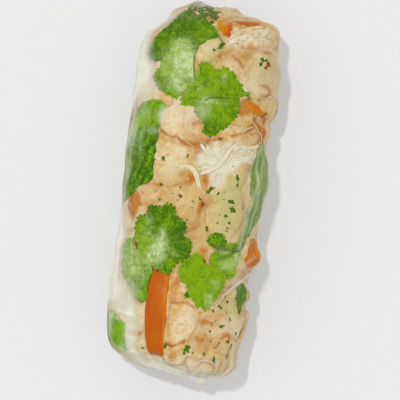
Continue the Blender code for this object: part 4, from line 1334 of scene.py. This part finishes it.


# Where herbs, pepper and bubbles lie: across, along, half width, half length, and how thick. The
# bubbles are pale lumps, painted glints.
HERBS = (
    (15, -7, 5, 6, 0.03), (-11, -3, 6, 2.4, 0.02), (-2, -9, 5, 5, 0.015), (17, -46, 9, 6, 0.03),
    (8, -53, 10, 5, 0.02), (-10, 11, 8, 6, 0.01), (24, -38, 4, 5, 0.03), (0, 61, 5, 3, 0.12),
    (-16, 60, 5, 2, 0.06), (21, 47, 3, 3, 0.08),
)
PEPPER = (
    (18, -46, 9, 8, 0.04), (24, -38, 5, 8, 0.02), (14, 50, 9, 2, 0.04), (22.6, 45.6, 2, 2, 0.3),
    (-19.4, -19.6, 1, 2, 0.4), (4.4, -3.2, 1, 1, 0.3), (26, 24, 4, 6, 0.02), (-13, -4, 8, 4, 0.02),
    (-1, 59.6, 8, 2, 0.1), (-2, -9, 7, 7, 0.03), (20.4, -49.6, 1.6, 1, 0.3), (21, -44, 3, 3, 0.05),
)
BUBBLE_GLINTS = (
    (8, 38, 3, 3, 1), (5, 36, 4, 4, 0.6), (-2, 34, 3, 3, 1), (4, 31, 4, 2, 1), (-12, 36, 5, 6, 0.8),
    (-13, -20, 5, 5, 0.8), (-14, 46, 5, 4, 0.8), (12, -36, 2, 2, 0.8), (-22, -28, 4, 6, 0.5),
)


class ROLL_OT_seasoning(bpy.types.Operator):
    """Chopped herb flecks, brown pepper specks and small trapped bubbles between filling and paper,
    made as pale lumps that are painted glints
    """

    bl_idname = "roll.seasoning"
    bl_label = "Flecks and bubbles"

    def execute(self, context):
        colours = context.scene.roll_colours
        radius = shape["outside"] + shape["top"] + 0.02 * MM
        across = plan_across(GRID_AROUND)
        upper = np.clip(np.sin(GRID_AROUND) + 0.6, 0, 1)
        herb = bpy.data.materials["chopped_coriander"]
        herbs = upper * (0.0015 + patch(HERBS, across, GRID_ALONG))
        scatter(
            "herb_flecks", radius, herbs, herb, "coriander",
            Density=1.6e6, Smallest=0.25 * MM, Largest=0.6 * MM, Flatness=0.25, Stretch=1.4, Seed=4,
        )
        pepper = small_piece("cracked_pepper", colours.pepper, colours.dried_juices, 0.5, 1500.0)
        specks = upper * (0.001 + patch(PEPPER, across, GRID_ALONG))
        scatter(
            "pepper_specks", radius, specks, pepper, "chicken",
            Density=1.6e6, Smallest=0.2 * MM, Largest=0.6 * MM, Flatness=0.4, Stretch=1.2, Seed=8,
        )
        # Pale lumps in the paper's colour: painted glints of the trapped bubbles.
        bubble_glint = small_piece("trapped_bubble_glint", colours.paper, colours.paper, 0.15, 1500.0)
        scatter(
            "trapped_bubble_glints", radius, patch(BUBBLE_GLINTS, across, GRID_ALONG), bubble_glint, "rice_paper",
            Density=60000.0, Smallest=0.2 * MM, Largest=0.55 * MM, Flatness=0.3, Stretch=1.0, Seed=2,
        )
        return {"FINISHED"}


# The paper.

# Where the paper is milky: across, along, half width, half length in millimetres, and strength.
MILKY = (
    (-15, 24, 2, 3, 0.3), (-29, 36, 7, 9, 0.85), (-24, 39, 3, 4, 0.4), (-44, 0, 13, 80, 0.9),
    (-31, -17, 5.4, 13, 0.9), (-34, 14, 4, 26, 0.15), (-30, -36, 6, 8, 0.8), (-17.6, -49, 2.6, 9, 0.5),
    (-22, -38, 5, 5, 0.6), (-21.5, -43.6, 6, 3, 0.4), (-17.5, -55, 3, 3, 0.3), (-27, -26, 3, 8, 0.25),
    (-30, -57.5, 5, 3, 0.6), (-38, -46, 5, 14, 0.5), (-16, -61, 12, 4, 0.6), (-24, 57, 4, 5, 0.3),
    (-29, 50, 4, 10, 0.75), (-8, 71, 22, 3.4, 0.55), (-14, 66.6, 12, 2.2, 0.35), (14, 63, 12, 3, 0.2),
    (29, 0, 5, 18, 0.1), (37, -66, 16, 3, 0.7), (25.5, -25.5, 2.4, 2.4, 0.2), (21, -29, 3, 2, 0.2),
    (-29, -50, 4.4, 6, -0.6), (8, -63, 22, 4, 0.55), (26, -66, 12, 3, 0.5), (-10, -68, 40, 5, 0.5),
    (40, -64, 12, 8, 0.4), (50, 0, 12, 60, 0.3), (25, -57, 4, 6, 0.25), (-2, 27, 2, 4, 0.15),
    (27, 40, 3, 10, 0.15), (-17, 42, 3, 6, -0.35), (-17, 53, 4, 4, -0.3), (-21, 33, 4, 3, 0.3),
    (-28, 2, 3, 10, -0.2),
)
# Creases in the paper: points across and along, half width, height and how milky.
CREASES = (
    (((33, -22), (29, -25.5), (24.5, -27.5), (20.6, -30.3), (17.4, -33.6), (14, -38)), 0.6, 1.0, 0.34),
    (((27, -20), (25, -21.8), (22, -25), (19.3, -29), (16, -33)), 0.5, 0.7, 0.24),
    (((30.5, -23), (26.4, -24.6), (22, -27.8), (18, -31.6)), 0.4, 0.5, 0.2),
    (((9.5, -59.5), (10.6, -56.6), (13.8, -55), (18, -55.6), (20, -59)), 0.6, 0.7, 0.16),
    (((12, -61), (13.4, -58.4), (17, -58), (18.4, -61)), 0.4, 0.6, 0.25),
    (((23.8, -51), (26, -55), (24, -61)), 0.6, 0.8, 0.25),
    (((21.5, -54), (22.4, -58), (21, -62)), 0.5, 0.6, 0.18),
    (((22.5, 16), (20.4, 9), (20.6, 0), (21.6, -8), (20.4, -18)), 0.4, 0.4, 0.35),
    (((27, 14), (24.6, 6), (25, -4), (24, -12)), 0.5, 0.5, 0.3),
    (((30, 18), (29, 6), (29.4, -4)), 0.5, 0.4, 0.2), (((31, 8), (32, 0), (30, -8)), 0.5, 0.4, 0.25),
    (((-30, 30), (-27, 20), (-30, 8)), 0.6, 0.4, 0.3), (((-27, 24), (-25, 16), (-27, 4)), 0.4, 0.4, 0.3),
    (((-24, -44), (-17, -45), (-13, -47)), 0.5, 0.5, 0.3),
    (((-19, -48.5), (-16, -49), (-13, -49)), 0.4, 0.4, 0.3),
    (((-19, -51.5), (-16, -52), (-12.6, -52.4)), 0.4, 0.4, 0.3),
    (((-26, -57), (-18, -56), (-10, -58)), 0.5, 0.5, 0.3),
    (((26, 52), (20, 50), (12, 49), (6, 50)), 0.5, 0.3, 0.1),
    (((-28, -14), (-30, -24), (-28, -34)), 0.5, 0.5, 0.2),
    (((28, 56), (22, 60), (12, 62)), 0.7, 0.6, 0.25), (((4, 57), (12, 59), (20, 58.6)), 0.5, 0.5, 0.2),
    (((-10, -60), (0, -62), (8, -61.6)), 0.5, 0.5, 0.25),
)


class ROLL_OT_paper(bpy.types.Operator):
    """Rice paper: drawn tight over the filling, lapped low on the left and gathered at both ends"""

    bl_idname = "roll.paper"
    bl_label = "Rice paper"

    def execute(self, context):
        sizes = context.scene.roll_sizes
        outside, across = shape["outside"], plan_across(GRID_AROUND)
        # The sheet is drawn tight over the highest points nearby.
        bed = shape["top"].copy()
        for step in (1, -1):
            bed = np.maximum(bed, np.roll(bed, step, 1))
        bed[1:] = np.maximum(bed[1:], bed[:-1])
        bed[:-1] = np.maximum(bed[:-1], bed[1:])
        skin = draped(bed, sizes.paper_tautness)
        gap = blur(np.clip(skin - shape["top"], 0, 2 * MM), 0.5 * MM)
        ground = place(GRID_ALONG, GRID_AROUND, outside)
        # Its ends are gathered in pleats, and its loose left side is wrinkled lengthwise.
        swing = np.clip((np.abs(GRID_ALONG) - SPINE) / CAP, 0, math.pi / 2)
        gathered = np.clip((swing - 0.45) / 0.7, 0, 1)
        turns = PLEATS * GRID_AROUND + 2.6 * ripple(ground, 12 * MM, 51) + 3 * np.sign(GRID_ALONG)
        pleat = (0.5 + 0.5 * np.sin(turns)) ** 3 * gathered * np.cos(swing * 0.92)
        loose = np.clip((-across / MM - 25) / 6, 0, 1) + np.clip((across / MM - 40) / 8, 0, 1)
        lengthwise = ripple(np.stack([across * 3, GRID_ALONG * 0.4, 0 * across], -1), 4 * MM, 52)
        wrinkle = np.clip(loose, 0, 1) * np.clip(lengthwise - 0.1, 0, 1)
        crease = near_lines([row[:3] for row in CREASES], across, GRID_ALONG)
        folded = near_lines([(row[0], row[1] + 0.2, row[3]) for row in CREASES], across, GRID_ALONG)
        height = skin + (0.15 + sizes.pleat_depth / MM * pleat + 0.6 * wrinkle + crease) * MM
        height += 0.05 * MM * ripple(ground, 1.2 * MM, 53)
        # It laps over itself low on the left, in a step that tapers out.
        lap = -across / MM - LAP_AT
        height += sizes.paper_thickness * np.clip(lap / 0.7, 0, 1) * np.clip(1 - lap / 14, 0, 1)
        # Underneath it rests flat on the table.
        table = down_to(AXIS)
        radius = np.minimum(outside + height, table)
        radius += np.clip((STEEP - 0.86) / 0.06, 0, 1) * (table - radius) * (swing < 0.3)
        # Milky where it stands off the filling, is gathered or wrinkled, or turns under.
        milk = 0.12 * np.clip(gap / (1.4 * MM) - 0.3, 0, 1) + patch(MILKY, across, GRID_ALONG)
        milk += 0.06 * pleat + 0.14 * wrinkle + folded + 0.1 * gathered
        milk += 0.35 * np.clip((np.abs(across) / MM - 32) / 8, 0, 1)
        milk += 0.12 * np.clip(lap / 0.7, 0, 1) * np.clip(1 - lap / 10, 0, 1)
        milk = np.clip(milk, 0.004, 0.92)
        cloudiness = 1.7 * milk * (1 - 0.8 * milk)
        item = whole_skin(
            "rice_paper_sheet", radius, soaked_rice_paper(context.scene.roll_colours),
            milk=milk - 0.5 * cloudiness, cloudiness=cloudiness,
        )
        keep(item, ["wrapper"])
        return {"FINISHED"}


class ROLL_OT_stage(bpy.types.Operator):
    """Plain pale floor, a soft overcast sky with one soft key light, and the camera above"""

    bl_idname = "roll.stage"
    bl_label = "Stage"

    def execute(self, context):
        scene = context.scene
        scene.view_settings.view_transform = "Standard"
        settings = scene.roll_stage
        world = bpy.data.worlds.new("studio")
        world.use_nodes = True
        sky = world.node_tree.nodes["Background"]
        sky.inputs["Color"].default_value = settings.sky
        scene.world = world
        floor, _, shader = new_material("light_table_top", Roughness=0.9, Emission_Strength=0.22)
        shader.inputs["Base Color"].default_value = settings.floor
        shader.inputs["Emission Color"].default_value = (1, 1, 1, 1)
        shader.inputs["Specular IOR Level"].default_value = 0.0
        corners = [(x, y, -FLOOR_GAP) for x, y in ((-4, -4), (4, -4), (4, 4), (-4, 4))]
        ground = add_mesh("floor", corners, [[0, 1, 2, 3]], floor)
        sun = bpy.data.lights.new("key_light", "SUN")
        sun.energy = settings.key_strength
        sun.angle = KEY_SOFTNESS
        lamp = bpy.data.objects.new("key_light", sun)
        lamp.rotation_euler = Vector(KEY_FROM).to_track_quat("Z", "Y").to_euler()
        scene.collection.objects.link(lamp)
        lens = bpy.data.cameras.new("camera")
        lens.lens = settings.focal_length
        lens.sensor_width = 36
        turn, side, up = settings.camera_turn, settings.camera_side, settings.camera_up
        eye = bpy.data.objects.new("camera", lens)
        eye.location = (
            side * math.cos(turn) - up * math.sin(turn),
            side * math.sin(turn) + up * math.cos(turn),
            settings.camera_height,
        )
        eye.rotation_euler = (0, 0, turn)
        scene.collection.objects.link(eye)
        scene.camera = eye
        return {"FINISHED"}


# The add-on's settings, panel and order of work.


def length(label, text, value):
    """A size in metres."""
    return bpy.props.FloatProperty(
        name=label, description=text, default=value, unit="LENGTH", subtype="DISTANCE"
    )


def tint(label, text, code):
    """A colour, from its hex code."""
    return bpy.props.FloatVectorProperty(
        name=label, description=text, default=colour(code), size=4, min=0, max=1, subtype="COLOR"
    )


class RollSizes(bpy.types.PropertyGroup):
    """Sizes of the paper and the filling"""

    paper_thickness: length("Paper thickness", "Step where the soaked sheet laps over itself", 0.5 * MM)
    pleat_depth: length("Pleat depth", "Depth of the gathers at the two ends", 0.6 * MM)
    paper_tautness: bpy.props.IntProperty(
        name="Paper tautness", description="How far the paper spans hollows in the filling",
        default=26, min=1,
    )
    strand_count: bpy.props.IntProperty(
        name="Fine strands", description="Number of fine chicken strands over the filling",
        default=150, min=0,
    )


class RollColours(bpy.types.PropertyGroup):
    """Colours of the paper and the filling"""

    paper: tint("Paper", "Milky rice paper", "#DEDCC8")
    chicken: tint("Chicken", "Poached chicken between its pale fibres", "#C29A4C")
    # Also carries painted light, where the chicken turns away from the key light.
    chicken_pale_and_painted_light: tint("Chicken, pale", "Pale fibres of the chicken", "#D6C5A2")
    chicken_white: tint("Chicken, white", "Torn white shreds of the breast", "#D6D0BA")
    chicken_herbed: tint("Chicken, herbed", "Chicken tinted by herbs", "#BCB078")
    # Painted shade in the seams between pieces.
    chicken_seam_shade: tint("Chicken seams", "Shaded seams between pieces", "#A8803F")
    juices: tint("Juices", "Cooking juices soaked into the chicken", "#B0742C")
    dried_juices: tint("Dried juices", "Juices dried along an edge", "#A85E20")
    pepper: tint("Pepper", "Cracked pepper", "#5E3413")
    carrot_deep: tint("Carrot, deep", "Carrot flesh", "#AC4E00")
    carrot_light: tint("Carrot, light", "Freshly cut carrot edge", "#C67C0C")
    coriander_dark: tint("Coriander, dark", "Coriander in shade and between its veins", "#366002")
    coriander_bright: tint("Coriander, bright", "Coriander close under the paper", "#769C02")
    coriander_vein: tint("Coriander veins", "Pale veins of the coriander", "#86A424")
    # Also the colour of painted whitish highlights on the leaves.
    coriander_frost: tint("Coriander frosting", "Coriander under small bubbles of air", "#B6C68C")
    herb_dark: tint("Chopped herb, dark", "Dark cut edges of the chopped herb", "#2A4A06")
    herb_light: tint("Chopped herb, light", "Chopped herb", "#567C14")
    mint_dark: tint("Mint, dark", "Mint in shade", "#325C02")
    mint_bright: tint("Mint, bright", "Mint close under the paper", "#78A010")
    mint_vein: tint("Mint veins", "Pale veins of the mint", "#7CA030")
    # Also the colour of painted whitish highlights on the leaves.
    mint_frost: tint("Mint frosting", "Mint under small bubbles of air", "#AEC08C")
    onion_green: tint("Spring onion, green", "Spring onion blade", "#507424")
    onion_pale: tint("Spring onion, pale", "Pale stripes of the spring onion", "#829A42")
    onion_vein: tint("Spring onion ribs", "Whitish ribs of the spring onion", "#B0C08C")
    # Also the colour of the painted highlight line along the blade's left edge.
    onion_frost: tint("Spring onion frosting", "Spring onion under folds of the paper", "#B0BE8C")


class RollStage(bpy.types.PropertyGroup):
    """Floor, light and camera"""

    floor: tint("Floor", "Plain opal floor", "#BCBCBC")
    sky: tint("Sky", "Even light from all round", "#EBEBEB")
    key_strength: bpy.props.FloatProperty(
        name="Key light", description="Strength of the key light", default=1.3
    )
    camera_height: length("Camera height", "Height of the camera over the floor", 1.5)
    camera_side: length("Camera aside", "How far right of the roll the camera stands", 2.3 * MM)
    camera_up: length("Camera ahead", "How far beyond the roll's middle the camera stands", -3.3 * MM)
    camera_turn: bpy.props.FloatProperty(
        name="Camera turn", description="Turn of the camera about the upright",
        default=math.radians(7.4), unit="ROTATION", subtype="ANGLE",
    )
    focal_length: bpy.props.FloatProperty(
        name="Focal length", description="Focal length on a sensor 36 mm wide", default=386, unit="CAMERA"
    )


class ROLL_PT_panel(bpy.types.Panel):
    """Lists the roll's settings and the steps that build it"""

    bl_idname = "ROLL_PT_panel"
    bl_label = "Rice Paper Roll"
    bl_space_type = "VIEW_3D"
    bl_region_type = "UI"
    bl_category = "Rice Paper Roll"

    def draw(self, context):
        for group in (context.scene.roll_sizes, context.scene.roll_colours, context.scene.roll_stage):
            box = self.layout.box()
            for key in group.__annotations__:
                box.prop(group, key)
        for step in STEPS:
            self.layout.operator(step.bl_idname)


STEPS = (
    ROLL_OT_stage,
    ROLL_OT_chicken,
    ROLL_OT_strands,
    ROLL_OT_carrot,
    ROLL_OT_coriander,
    ROLL_OT_stems,
    ROLL_OT_mint,
    ROLL_OT_spring_onion,
    ROLL_OT_bits,
    ROLL_OT_seasoning,
    ROLL_OT_paper,
)
GROUPS = {"roll_sizes": RollSizes, "roll_colours": RollColours, "roll_stage": RollStage}


def register():
    """Registers the settings, the steps and the panel."""
    for item in (*GROUPS.values(), *STEPS, ROLL_PT_panel):
        bpy.utils.register_class(item)
    for key, group in GROUPS.items():
        setattr(bpy.types.Scene, key, bpy.props.PointerProperty(type=group))


def unregister():
    """Takes them away again."""
    for key in GROUPS:
        delattr(bpy.types.Scene, key)
    for item in (ROLL_PT_panel, *reversed(STEPS), *GROUPS.values()):
        bpy.utils.unregister_class(item)


def main():
    """Builds the roll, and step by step."""
    register()
    for step in STEPS:
        family, action = step.bl_idname.split(".")
        getattr(getattr(bpy.ops, family), action)()
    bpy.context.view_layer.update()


if __name__ == "__main__":
    main()
